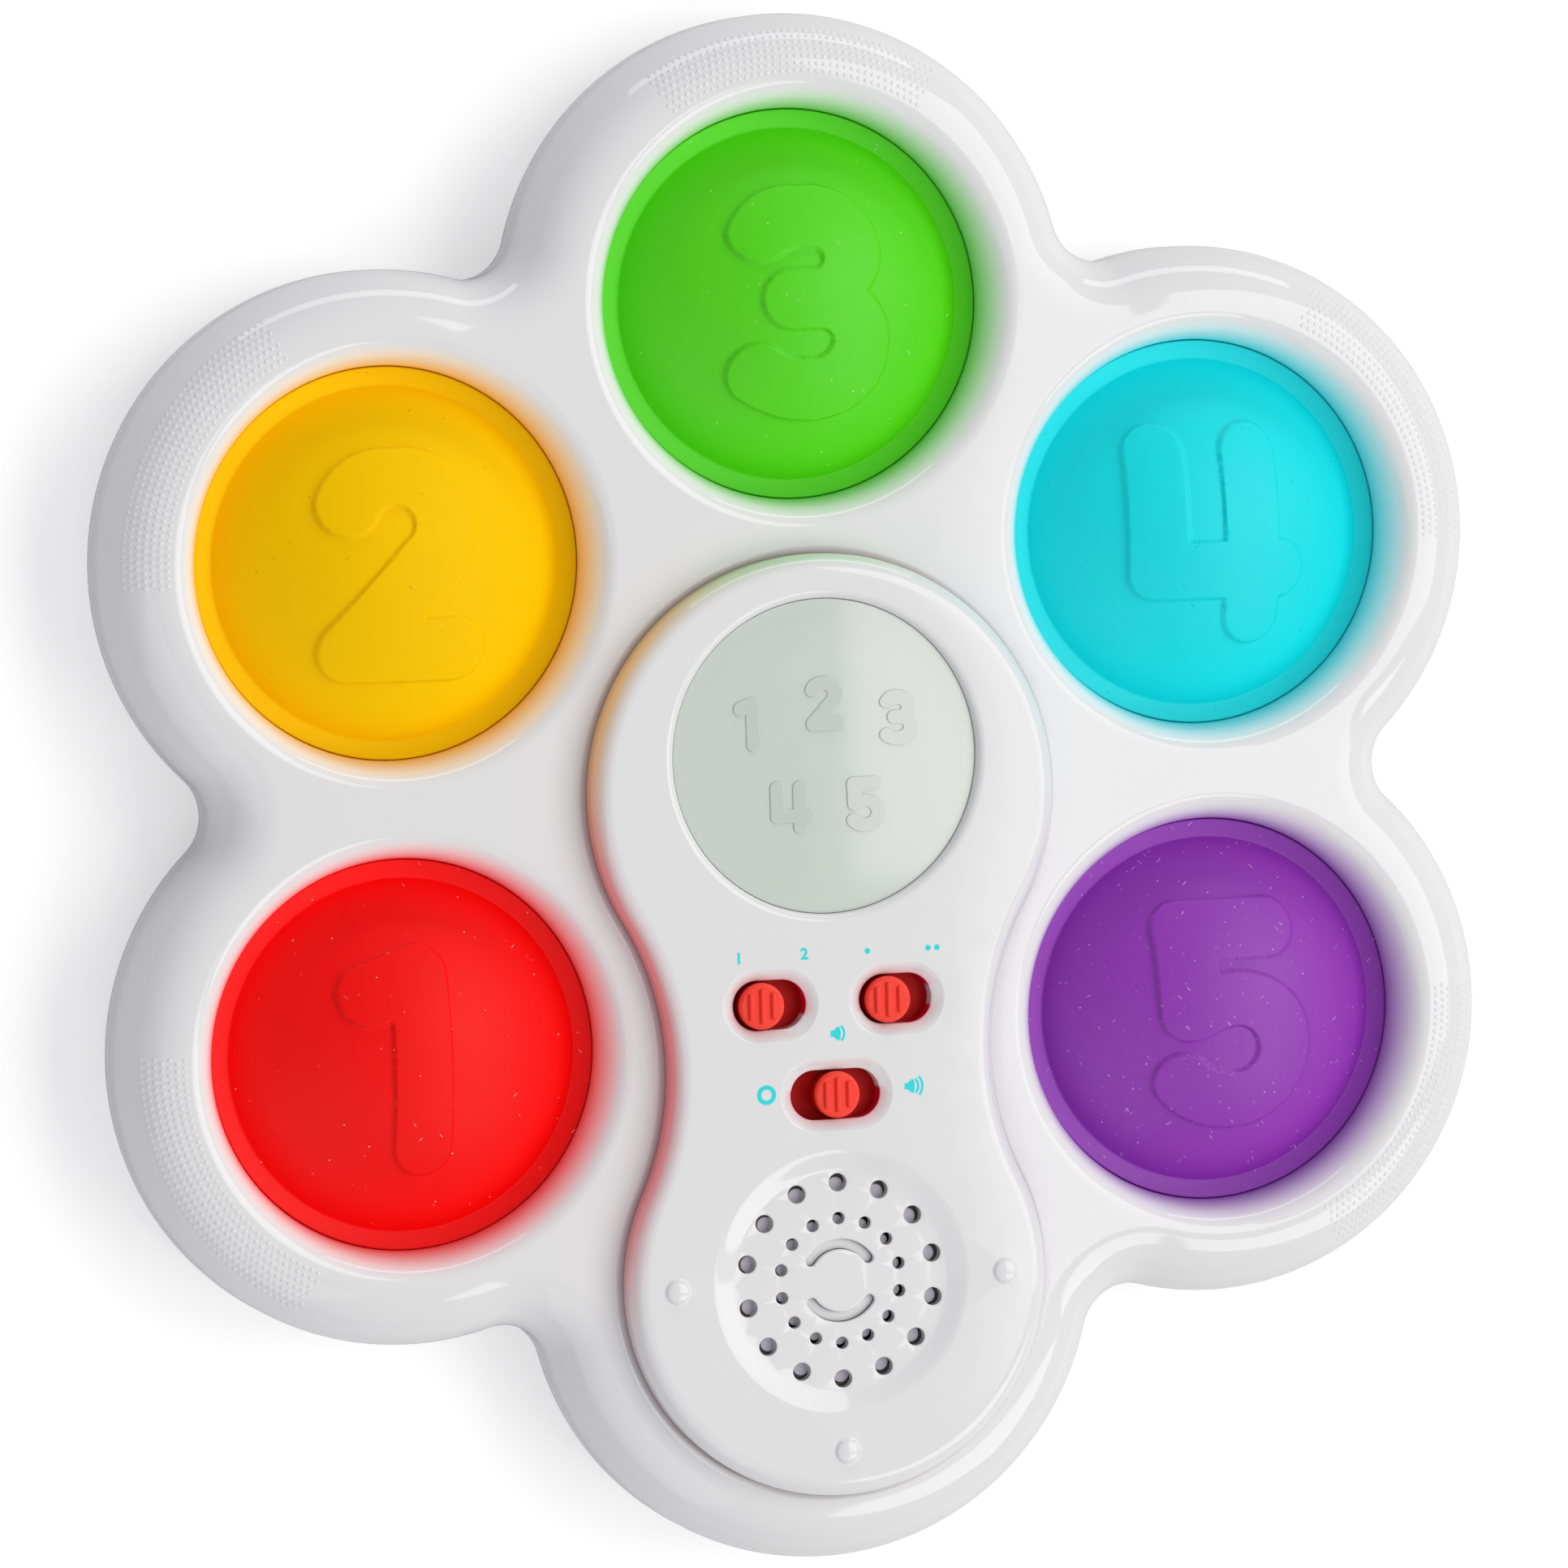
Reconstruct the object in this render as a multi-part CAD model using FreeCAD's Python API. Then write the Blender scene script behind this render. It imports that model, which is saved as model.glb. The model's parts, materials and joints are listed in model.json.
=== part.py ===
import FreeCAD, Part
import math
import os

# Bubble pop toy: a flower of six lobes, five with a silicone bubble and one with the speaker.
# Millimetres. Origin under the middle of the flower on the surface it stands on, +Z up out of
# the face, +Y towards the lobe of bubble 3, +X to the right as the face is read.

# Body
bridge_width = 6.6         # white strip between the lips of two neighbouring wells
notch_radius = 8.5         # hollow corner between two lobes, in plan
body_height = 28.0         # standing surface to the flat face
parting_height = 13.0      # where the two shells meet
foot_height = 1.5          # feet hold the bottom shell this far off the surface
wall = 2.2                 # moulded wall of every casing
top_edge_round = 11.0
bottom_edge_round = 10.0
rim_flat = 0.3             # narrow flat crest between a lip and the outer edge
seat_gap = 0.2             # clearance where one moulding sits inside another
tongue_height = 1.5
tongue_thick = 1.2
tongue_root = 2.4

# Bubble wells and silicone bubbles
well_radius = 33.6         # opening where the silicone shows
lip_width = 5.1            # rounded lip, across
lip_depth = 9.7            # rounded lip, down to the silicone
flange_thick = 1.6
flange_hold = 3.9          # flange width hidden and clamped under the lip
fold_width = 3.0           # flat silicone ring seen round each dome
fold_gap = 0.3             # between the fixed flange and the moving dome
dome_rise = 12.8
dome_wall = 1.8
dome_travel = 8.0
numeral_raise = 0.6
numeral_root = 0.9         # how far a numeral is rooted in the dome

# Clamp rings under the flanges
clamp_thick = 2.5
clamp_width = 9.5
clamp_ear_reach = 3.0      # screw circle beyond the ring's edge
boss_radius = 2.8          # bosses and ears of all short screws
ears_per_ring = 3

# Plungers, switch boards and push switches under the bubbles
plunger_head_radius = 9.0
plunger_head_thick = 1.4
plunger_stem_radius = 3.0
board_thick = 1.6
key_board_length = 30.0
key_board_width = 16.0
key_board_post_height = 2.8
key_board_post_spacing = 22.0
push_switch_side = 6.0
push_switch_height = 3.5
push_button_radius = 1.7
push_button_height = 0.8
press_gap = 0.3            # left between stem and button at full travel

# Console
console_margin = 4.1       # console's edge to the nearest lip
console_lower_radius = 37.4
console_waist_radius = 50.0
console_height = 6.1       # above the flat face
console_edge_round = 3.3
console_seat_depth = 1.2
console_ledge = 3.0
console_ledge_thick = 2.0
console_ear_radius = 4.2
console_upper_screw_inset = 7.2
console_lower_screw_inset = 6.4
console_upper_screw_y = -8.0

# Lens and light
lens_offset = 6.5          # middle of the toy to the middle of the lens
lens_margin = 7.6          # console between the lens and its top edge
lens_recess = 1.8          # lens edge below the console's top
lens_crown = 1.2
lens_thick = 1.9           # at the edge
lens_flange_width = 1.9
lens_lip_round = 1.5
lens_side_gap = 0.05
cup_wall = 1.4
cup_seat_width = 3.1       # lens beyond the cup's inside
cup_height = 8.4
cup_flange_thick = 1.5
cup_screw_reach = 5.4      # screw circle beyond the lens
led_board_gap = 0.3
led_board_screw_circle = 8.0
led_count = 6
led_circle = 15.0
led_radius = 2.5
led_height = 3.4
led_top_round = 2.0

# Slide switches and knobs
knob_radius = 4.0
knob_stand = 1.2           # knob top above the console's top
knob_gap = 0.3             # round the knob in its slot, and over its plate
knob_top_round = 0.9
knob_rib_width = 0.8
knob_rib_height = 0.35
knob_rib_pitch = 1.9
knob_rib_lengths = (4.2, 5.6, 4.2)
slide_plate_thick = 1.4
slide_plate_side = 1.0     # plate past the slot's edge
two_step_travel = 3.4
three_step_travel = 6.4
upper_slot_x = 11.3
slot_row_pitch = 15.9
lower_slot_drop = 8.7      # middle of the main board down to the volume slot
slot_edge_round = 1.8
lever_side = 2.0
lever_socket_depth = 0.9
lever_fit = 0.05
lever_reach = 2.0          # lever inside the switch case
switch_case_width = 6.6
switch_case_height = 5.0
switch_case_margin = 8.4   # case length beyond the travel
switch_case_wall = 0.8
switch_case_gap = 0.7      # case to the slide plate above it

# Speaker and grille
grille_margin = 1.9        # dish beyond the speaker
grille_dish = 1.3
grille_dish_slope = 2.0
grille_wall = 1.8
grille_holes = 14
outer_hole_circle = 17.0
outer_hole_radius = 1.55
inner_hole_circle = 10.8
inner_hole_radius = 1.05
arc_slot_radius = 6.3
arc_slot_width = 1.8
arc_slot_half_angle = 55.0
pip_radius = 2.1
pip_height = 0.8
pip_edge_round = 0.5
pip_inset = 8.0            # pip circle inside the console's edge
speaker_radius = 20.0
speaker_rim_width = 2.5
speaker_rim_thick = 1.0
speaker_depth = 6.0
speaker_back_radius = 10.0
speaker_sheet = 0.8
cone_sheet = 0.4
dust_cap_radius = 5.0
magnet_radius = 9.0
magnet_thick = 5.0
gasket_thick = 1.0
speaker_clamp_thick = 1.5
speaker_screw_reach = 4.5  # screw circle beyond the speaker

# Main board
main_board_length = 46.0
main_board_cup_gap = 4.1       # board to the light cup, in plan
main_board_speaker_gap = 1.0   # board to the speaker, in plan
main_board_screw_side = 2.5
main_board_screw_inset = 3.2
chip_radius = 6.0
chip_height = 1.5
capacitor_radius = 2.5
capacitor_height = 4.0
capacitor_x = 17.5
capacitor_drop = 3.0       # below the middle of the board

# Battery box, for three cells 44.5 long and 10.5 across
cell_radius = 5.25
cell_length = 44.5
cell_count = 3
cell_side_gap = 0.4
cell_nub_radius = 1.9
cell_nub_length = 0.8
contact_room = 3.0
contact_thick = 0.5
contact_side = 9.0
spring_wire = 0.35
spring_radius = 3.0
spring_turns = 2.0
door_thick = 2.6
door_overlap = 2.5
door_gap = 0.3
door_corner_round = 3.0
door_screw_strip = 6.0     # door beyond the box at both ends, for its two screws
door_frame_wall = 1.2

# Screws
screw_radius = 1.3
screw_head_radius = 2.6
screw_head_height = 1.6
screw_fit = 0.05
screw_loose = 0.3
screw_socket_depth = 0.8
screw_socket_length = 3.12
screw_socket_width = 0.65
pilot_spare = 0.5          # pilot hole past the tip of a screw
boss_spare = 0.3           # the same in the console's bosses
post_spare = 0.2           # the same in the posts of the small boards
shell_screw_circle = 90.5
shell_boss_radius = 3.8
shell_boss_meet = 14.0
shell_screw_head_depth = 6.5
shell_screw_cover = 2.4    # casing left over the tip of a shell screw
short_screw_length = 5.0
inner_screw_length = 3.5

# Feet
foot_radius = 6.0
foot_sink = 0.5
foot_offset = 28.0         # lobe middle outwards to the foot

bubble_angles = {1: 210, 2: 150, 3: 90, 4: 30, 5: 330}
speaker_angle = 270

lip_radius = well_radius + lip_width
lobe_radius = lip_radius + rim_flat + top_edge_round
hex_radius = 2 * lip_radius + bridge_width     # middle of the toy to the middle of each lobe
flange_top = body_height - lip_depth
flange_bottom = flange_top - flange_thick
flange_radius = well_radius + flange_hold
flange_inner = well_radius - fold_width
dome_radius = flange_inner - fold_gap
dome_top = flange_top + dome_rise
dome_sphere = (dome_radius ** 2 + dome_rise ** 2) / (2 * dome_rise)
dome_centre = dome_top - dome_sphere
clamp_outer = flange_inner + clamp_width
clamp_screw_circle = clamp_outer + clamp_ear_reach
clamp_bottom = flange_bottom - clamp_thick
face_under = body_height - wall
base_inside = foot_height + wall
console_top = body_height + console_height
console_under = console_top - wall
console_foot = body_height - console_seat_depth
ledge_bottom = console_foot - console_ledge_thick
speaker_y = -hex_radius
console_upper_radius = hex_radius - lip_radius - console_margin
console_upper_screw_x = console_upper_radius - console_upper_screw_inset
console_lower_screw_circle = console_lower_radius - console_lower_screw_inset
lens_radius = console_upper_radius - lens_offset - lens_margin
cup_inner_radius = lens_radius - cup_seat_width
cup_outer = cup_inner_radius + cup_wall
cup_screw_circle = lens_radius + cup_screw_reach
pip_circle = console_lower_radius - pip_inset
grille_radius = speaker_radius + grille_margin
speaker_screw_circle = speaker_radius + speaker_screw_reach
plate_top = console_under - knob_gap
plate_bottom = plate_top - slide_plate_thick
case_top = plate_bottom - switch_case_gap
main_board_top = case_top - switch_case_height
main_board_height = main_board_top - board_thick   # its underside
main_board_upper_edge = lens_offset - cup_outer - main_board_cup_gap
main_board_lower_edge = speaker_y + speaker_radius + main_board_speaker_gap
main_board_width = main_board_upper_edge - main_board_lower_edge
main_board_y = (main_board_upper_edge + main_board_lower_edge) / 2
main_board_screw_x = main_board_length / 2 - main_board_screw_side
lower_slot_y = main_board_y - lower_slot_drop
upper_slot_y = lower_slot_y + slot_row_pitch
key_board_bottom = base_inside + key_board_post_height
key_board_top = key_board_bottom + board_thick

# Outline of each raised numeral about the middle of its bubble. A pair is the end of a straight
# edge; two pairs are a point on an arc and its end. The first pair is the start.
numerals = {
    1: [[(-4.2, -15.0)],
        [(0.8, -19.9), (5.8, -15.0)],
        [(5.8, 14.2)],
        [(4.2, 18.0), (0.0, 19.5)],
        [(-10.2, 15.8)],
        [(-13.2, 11.0), (-8.2, 6.0)],
        [(-6.1, 6.2), (-4.2, 6.8)]],
    2: [[(-14.1, 10.8)],
        [(-10.2, 16.6), (-0.5, 19.5)],
        [(10.2, 16.2), (14.2, 8.0)],
        [(13.3, 3.4), (10.9, -0.4)],
        [(3.4, -9.2)],
        [(9.4, -9.2)],
        [(14.7, -14.5), (9.4, -19.8)],
        [(-9.2, -19.7)],
        [(-14.1, -15.2), (-12.3, -10.1)],
        [(0.9, 4.1)],
        [(2.4, 7.3), (-0.6, 10.0)],
        [(-2.4, 9.5), (-3.6, 8.2)],
        [(-5.4, 6.0), (-8.2, 4.9)],
        [(-12.3, 6.2), (-14.1, 10.8)]],
    3: [[(-13.2, 12.0)],
        [(-9.4, 17.5), (0.0, 20.0)],
        [(9.6, 17.2), (13.9, 9.0)],
        [(13.1, 5.0), (10.8, 1.8)],
        [(14.1, -2.3), (14.9, -7.6)],
        [(13.2, -13.7), (8.5, -18.0)],
        [(4.3, -19.5), (0.0, -19.9)],
        [(-5.5, -19.0), (-10.5, -16.7)],
        [(-13.0, -14.5), (-13.9, -11.5)],
        [(-12.2, -8.1), (-7.8, -6.6)],
        [(-6.2, -7.0), (-4.9, -7.9)],
        [(-2.9, -9.0), (-0.5, -9.2)],
        [(3.3, -8.3), (4.4, -6.4)],
        [(3.6, -4.9), (1.5, -4.4)],
        [(-2.6, -4.4)],
        [(-7.8, 0.8), (-2.6, 5.9)],
        [(1.2, 5.9)],
        [(3.0, 7.6), (1.2, 9.3)],
        [(-0.5, 9.5)],
        [(-2.5, 9.1), (-4.3, 8.2)],
        [(-6.2, 7.4), (-8.3, 7.2)],
        [(-12.0, 9.1), (-13.2, 12.0)]],
    4: [[(-15.2, 14.0)],
        [(-10.0, 19.1), (-4.8, 14.0)],
        [(-4.8, -1.5)],
        [(1.6, -1.5)],
        [(1.6, 14.0)],
        [(6.8, 19.0), (12.0, 14.0)],
        [(12.0, -1.5)],
        [(16.8, -6.5), (12.0, -11.5)],
        [(12.0, -14.3)],
        [(6.8, -19.4), (1.6, -14.3)],
        [(1.6, -11.4)],
        [(-10.4, -11.4)],
        [(-13.8, -10.0), (-15.2, -6.6)]],
    5: [[(-12.6, 14.8)],
        [(-11.2, 18.2), (-7.6, 19.7)],
        [(8.4, 19.7)],
        [(13.4, 14.5), (8.4, 9.4)],
        [(-1.5, 9.4)],
        [(-1.5, 7.0)],
        [(7.6, 6.1), (13.0, 2.0)],
        [(15.7, -6.0), (13.2, -14.0)],
        [(7.8, -18.7), (1.0, -20.2)],
        [(-6.3, -18.7), (-12.2, -14.2)],
        [(-12.7, -9.4), (-8.5, -6.6)],
        [(-6.0, -7.1), (-4.1, -8.4)],
        [(-1.8, -9.8), (1.0, -10.1)],
        [(5.4, -6.1), (1.4, -2.1)],
        [(-0.8, -2.5), (-3.0, -3.5)],
        [(-5.0, -4.3), (-7.2, -4.5)],
        [(-11.2, -2.4), (-12.1, 0.6)]],
}


def at(x, y, z=0.0):
    return FreeCAD.Vector(x, y, z)


def polar(radius, degrees, z=0.0, centre=(0.0, 0.0)):
    turn = math.radians(degrees)
    return at(centre[0] + radius * math.cos(turn), centre[1] + radius * math.sin(turn), z)


def lobe_middle(degrees):
    middle = polar(hex_radius, degrees)
    return (middle.x, middle.y)


def arc(start, through, end):
    return Part.Arc(start, through, end).toShape()


def prism(edges, low, high):
    face = Part.Face(Part.Wire(edges))
    face.translate(at(0, 0, low))
    return face.extrude(at(0, 0, high - low))


def cylinder(radius, low, high, x=0.0, y=0.0):
    return Part.makeCylinder(radius, high - low, at(x, y, low))


def tube(outer, inner, low, high, x=0.0, y=0.0):
    return cylinder(outer, low, high, x, y).cut(cylinder(inner, low - 1, high + 1, x, y))


def box(x_low, x_high, y_low, y_high, z_low, z_high):
    return Part.makeBox(x_high - x_low, y_high - y_low, z_high - z_low, at(x_low, y_low, z_low))


def block(length, width, low, high, x=0.0, y=0.0):
    return box(x - length / 2, x + length / 2, y - width / 2, y + width / 2, low, high)


def stadium(length, width, low, high, x=0.0, y=0.0):
    reach = (length - width) / 2
    middle = block(2 * reach, width, low, high, x, y)
    ends = [cylinder(width / 2, low, high, x + side * reach, y) for side in (-1, 1)]
    return join([middle] + ends)


def join(solids):
    return solids[0].fuse(solids[1:]).removeSplitter()


def turned(shape, degrees, x, y):
    moved = shape.copy()
    moved.rotate(at(0, 0, 0), at(0, 0, 1), degrees)
    moved.translate(at(x, y, 0))
    return moved


def spun(edges, x=0.0, y=0.0):
    face = Part.Face(Part.Wire(edges))
    solid = face.revolve(at(0, 0, 0), at(0, 0, 1), 360)
    solid.translate(at(x, y, 0))
    return solid


def spun_polygon(points, x=0.0, y=0.0):
    corners = [at(radius, 0, z) for radius, z in points]
    return spun(Part.makePolygon(corners + corners[:1]).Edges, x, y)


def ball(radius, z, x=0.0, y=0.0):
    return Part.makeSphere(radius, at(x, y, z))


def edges_at(solid, height):
    return [edge for edge in solid.Edges
            if abs(edge.BoundBox.ZMin - height) < 1e-4 and abs(edge.BoundBox.ZMax - height) < 1e-4]


def save(name, shape):
    shape.exportStep(os.path.join("parts", name + ".step"))


# Outline of the flower, set out by an even margin or in by a negative one.
def flower_edges(margin=0.0):
    lobe = lobe_radius + margin
    hollow = notch_radius - margin
    reach = math.sqrt((lobe + hollow) ** 2 - (hex_radius / 2) ** 2)
    notch_distance = hex_radius * math.cos(math.radians(30)) + reach
    share = lobe / (lobe + hollow)
    edges = []
    for step in range(6):
        here = 30 + 60 * step
        middle = polar(hex_radius, here)
        beyond = polar(hex_radius, here + 60)
        before = polar(notch_distance, here - 30)
        after = polar(notch_distance, here + 30)
        first = middle + (before - middle) * share
        last = middle + (after - middle) * share
        next_first = beyond + (after - beyond) * share
        edges.append(arc(first, polar(hex_radius + lobe, here), last))
        edges.append(arc(last, polar(notch_distance - hollow, here + 30), next_first))
    return edges


def flower(margin, low, high, top_round=0.0, bottom_round=0.0):
    solid = prism(flower_edges(margin), low, high)
    if top_round > 0:
        solid = solid.makeFillet(top_round, edges_at(solid, high))
    if bottom_round > 0:
        solid = solid.makeFillet(bottom_round, edges_at(solid, low))
    return solid


# Outline of the console: two circles with a hollow waist between them.
def console_edges(margin=0.0):
    upper = console_upper_radius + margin
    lower = console_lower_radius + margin
    waist = console_waist_radius - margin
    to_upper = upper + waist
    to_lower = lower + waist
    waist_y = -(hex_radius ** 2 + to_upper ** 2 - to_lower ** 2) / (2 * hex_radius)
    waist_x = math.sqrt(to_upper ** 2 - waist_y ** 2)
    foot = at(0, speaker_y)
    right = at(waist_x, waist_y)
    upper_right = right * (upper / to_upper)
    lower_right = foot + (right - foot) * (lower / to_lower)
    upper_left = at(-upper_right.x, upper_right.y)
    lower_left = at(-lower_right.x, lower_right.y)
    waist_right = at(waist_x - waist, waist_y)
    waist_left = at(waist - waist_x, waist_y)
    return [arc(upper_right, at(0, upper), upper_left),
            arc(upper_left, waist_left, lower_left),
            arc(lower_left, at(0, speaker_y - lower), lower_right),
            arc(lower_right, waist_right, upper_right)]


# A pan head screw with a cross socket. Its head starts at head_low and its shank points up;
# with up=False the head ends there and the shank points down.
def screw(place, head_low, length, up=True):
    side = 1 if up else -1
    seat = head_low + side * screw_head_height
    tip = seat + side * length
    socket = head_low + side * screw_socket_depth
    head = cylinder(screw_head_radius, min(head_low, seat), max(head_low, seat), place.x, place.y)
    shank = cylinder(screw_radius, min(seat, tip), max(seat, tip), place.x, place.y)
    low = min(head_low, socket)
    high = max(head_low, socket)
    solid = join([head, shank])
    solid = solid.cut(block(screw_socket_length, screw_socket_width, low, high, place.x, place.y))
    return solid.cut(block(screw_socket_width, screw_socket_length, low, high, place.x, place.y))


def pilot(place, low, high):
    return cylinder(screw_radius + screw_fit, low, high, place.x, place.y)


# An ear for a short screw, reaching back from the screw towards the middle it belongs to.
def ear(place, middle, low, high):
    inward = at(middle[0] - place.x, middle[1] - place.y).normalize() * boss_radius
    foot = place + inward
    tip = cylinder(boss_radius, low, high, place.x, place.y)
    return tip.fuse(cylinder(boss_radius, low, high, foot.x, foot.y))


def clamp_screw_places(number):
    turn = bubble_angles[number]
    middle = lobe_middle(turn)
    return [polar(clamp_screw_circle, turn + 60 + 360 / ears_per_ring * step, 0, middle)
            for step in range(ears_per_ring)]


def key_board_screw_places(number):
    turn = bubble_angles[number]
    middle = lobe_middle(turn)
    return [polar(key_board_post_spacing / 2, turn + side * 90, 0, middle) for side in (-1, 1)]


shell_screw_places = [polar(shell_screw_circle, 60 * step) for step in range(6)]
console_screw_places = [at(side * console_upper_screw_x, console_upper_screw_y) for side in (-1, 1)]
console_screw_places += [polar(console_lower_screw_circle, turn, 0, (0, speaker_y))
                         for turn in (0, 180, 270)]
main_board_screw_places = [at(side * main_board_screw_x, main_board_y + end *
                              (main_board_width / 2 - main_board_screw_inset))
                           for side in (-1, 1) for end in (-1, 1)]
cup_screw_places = [polar(cup_screw_circle, turn, 0, (0, lens_offset)) for turn in (30, 150, 270)]
speaker_screw_places = [polar(speaker_screw_circle, 45 + 90 * step, 0, (0, speaker_y))
                        for step in range(4)]
foot_places = [polar(hex_radius + foot_offset, 30 + 60 * step) for step in range(6)]

os.makedirs("parts", exist_ok=True)


# Top shell: casing with five lipped wells, a seat for the console, six bosses for the shell
# screws and three bosses round each well for its clamp ring.
def lip_ring(x, y):
    middle = at(lip_radius, 0, flange_top)
    outer = Part.Ellipse(middle + at(0, 0, lip_depth), middle - at(lip_width, 0), middle)
    inner = Part.Ellipse(middle + at(0, 0, lip_depth - wall), middle - at(lip_width - wall, 0), middle)
    quarter = math.pi / 2
    edges = [Part.ArcOfEllipse(outer, 0, quarter).toShape(),
             Part.makeLine(at(well_radius, 0, flange_top), at(well_radius + wall, 0, flange_top)),
             Part.ArcOfEllipse(inner, 0, quarter).toShape(),
             Part.makeLine(at(lip_radius, 0, face_under), at(lip_radius, 0, body_height))]
    return spun(edges, x, y)


top_skin = flower(0, parting_height, body_height, top_round=top_edge_round)
top_shell = top_skin.cut(flower(-wall, parting_height, face_under, top_round=top_edge_round - wall))
for number, turn in bubble_angles.items():
    x, y = lobe_middle(turn)
    well = cylinder(lip_radius, parting_height, body_height + 1, x, y)
    top_shell = top_shell.cut(well).fuse(lip_ring(x, y))
    for place in clamp_screw_places(number):
        boss = cylinder(boss_radius, flange_bottom, body_height, place.x, place.y)
        top_shell = top_shell.fuse(boss.common(top_skin).cut(well))
for place in shell_screw_places:
    boss = cylinder(shell_boss_radius, shell_boss_meet, body_height, place.x, place.y)
    top_shell = top_shell.fuse(boss.common(top_skin))
top_shell = top_shell.fuse(prism(console_edges(wall), ledge_bottom, face_under))
top_shell = top_shell.cut(prism(console_edges(-console_ledge), ledge_bottom - 1, body_height + 1))
for place in console_screw_places:
    seat = cylinder(console_ear_radius, ledge_bottom, console_foot, place.x, place.y)
    top_shell = top_shell.fuse(seat).cut(pilot(place, ledge_bottom - 1, body_height))
top_shell = top_shell.cut(prism(console_edges(seat_gap), console_foot, body_height + 1))
for number in bubble_angles:
    for place in clamp_screw_places(number):
        top_shell = top_shell.cut(pilot(place, flange_bottom - 1, clamp_bottom + short_screw_length + 1))
shell_screw_head = foot_height + shell_screw_head_depth
shell_screw_tip = body_height - shell_screw_cover
shell_screw_length = shell_screw_tip - shell_screw_head - screw_head_height
for place in shell_screw_places:
    top_shell = top_shell.cut(pilot(place, shell_boss_meet - 1, shell_screw_tip + pilot_spare))
top_shell = top_shell.removeSplitter()
save("top_shell", top_shell)


# Bottom shell: tray with a tongue inside the top shell's wall, six screw posts, posts for the
# switch boards, and a battery box that opens underneath.
door_top = foot_height + door_thick
cell_middle = door_top + door_gap + cell_radius
box_roof = cell_middle + cell_radius + door_gap
box_length = cell_length + 2 * contact_room
cell_pitch = 2 * cell_radius + cell_side_gap
box_width = cell_count * cell_pitch + cell_side_gap
door_length = box_length + 2 * door_overlap
door_width = box_width + 2 * (door_overlap + door_screw_strip)
door_screw_y = box_width / 2 + door_overlap + door_screw_strip / 2
door_screw_places = [at(0, main_board_y + side * door_screw_y) for side in (-1, 1)]
door_screw_tip = foot_height + screw_head_height + short_screw_length


def door_outline(margin, low, high):
    solid = block(door_length + 2 * margin, door_width + 2 * margin, low, high, 0, main_board_y)
    corners = [edge for edge in solid.Edges if edge.BoundBox.ZLength > (high - low) / 2]
    return solid.makeFillet(door_corner_round + margin, corners)


bottom_shell = flower(0, foot_height, parting_height, bottom_round=bottom_edge_round)
bottom_shell = bottom_shell.cut(flower(-wall, base_inside, parting_height + 1,
                                       bottom_round=bottom_edge_round - wall))
inside_tongue = prism(flower_edges(-wall - seat_gap - tongue_thick), foot_height, body_height)
root = prism(flower_edges(-wall / 2), parting_height - tongue_root, parting_height - seat_gap)
tongue = prism(flower_edges(-wall - seat_gap), parting_height - tongue_root,
               parting_height + tongue_height)
bottom_shell = bottom_shell.fuse([root.cut(inside_tongue), tongue.cut(inside_tongue)])
for place in shell_screw_places:
    bottom_shell = bottom_shell.fuse(cylinder(shell_boss_radius, foot_height, shell_boss_meet,
                                              place.x, place.y))
for number in bubble_angles:
    for place in key_board_screw_places(number):
        bottom_shell = bottom_shell.fuse(cylinder(boss_radius, foot_height, key_board_bottom,
                                                  place.x, place.y))
bottom_shell = bottom_shell.fuse(block(box_length + 2 * wall, box_width + 2 * wall, foot_height,
                                       box_roof + wall, 0, main_board_y))
bottom_shell = bottom_shell.fuse(door_outline(door_frame_wall, foot_height, door_top + wall))
for place in door_screw_places:
    bottom_shell = bottom_shell.fuse(cylinder(boss_radius, door_top, door_screw_tip + 2 * pilot_spare,
                                              place.x, place.y))
bottom_shell = bottom_shell.cut(door_outline(door_gap, foot_height - 1, door_top))
bottom_shell = bottom_shell.cut(block(box_length, box_width, foot_height, box_roof, 0, main_board_y))
for place in door_screw_places:
    bottom_shell = bottom_shell.cut(pilot(place, door_top - 1, door_screw_tip + pilot_spare))
for place in shell_screw_places:
    counterbore = cylinder(screw_head_radius + screw_loose, foot_height - 1,
                           shell_screw_head + screw_head_height, place.x, place.y)
    clear = cylinder(screw_radius + screw_loose, foot_height, shell_boss_meet + 1, place.x, place.y)
    bottom_shell = bottom_shell.cut(counterbore).cut(clear)
for number in bubble_angles:
    for place in key_board_screw_places(number):
        bottom_shell = bottom_shell.cut(pilot(place, key_board_top - short_screw_length - post_spare,
                                              key_board_top))
for place in foot_places:
    bottom_shell = bottom_shell.cut(cylinder(foot_radius, foot_height - 1, foot_height + foot_sink,
                                             place.x, place.y))
bottom_shell = bottom_shell.removeSplitter()
save("bottom_shell", bottom_shell)

rubber_feet = [cylinder(foot_radius, 0, foot_height + foot_sink, place.x, place.y)
               for place in foot_places]
save("rubber_feet", Part.Compound(rubber_feet))

save("shell_screws", Part.Compound([screw(place, shell_screw_head, shell_screw_length)
                                    for place in shell_screw_places]))

# Battery door: flat plate in a rebate of the bottom shell, held by a screw at each end.
battery_door = door_outline(0, foot_height, door_top)
for place in door_screw_places:
    battery_door = battery_door.cut(cylinder(screw_head_radius + screw_loose, foot_height - 1,
                                             foot_height + screw_head_height, place.x, place.y))
    battery_door = battery_door.cut(pilot(place, foot_height, door_top + 1))
save("battery_door", battery_door)
save("battery_door_screws", Part.Compound([screw(place, foot_height, short_screw_length)
                                           for place in door_screw_places]))

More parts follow.
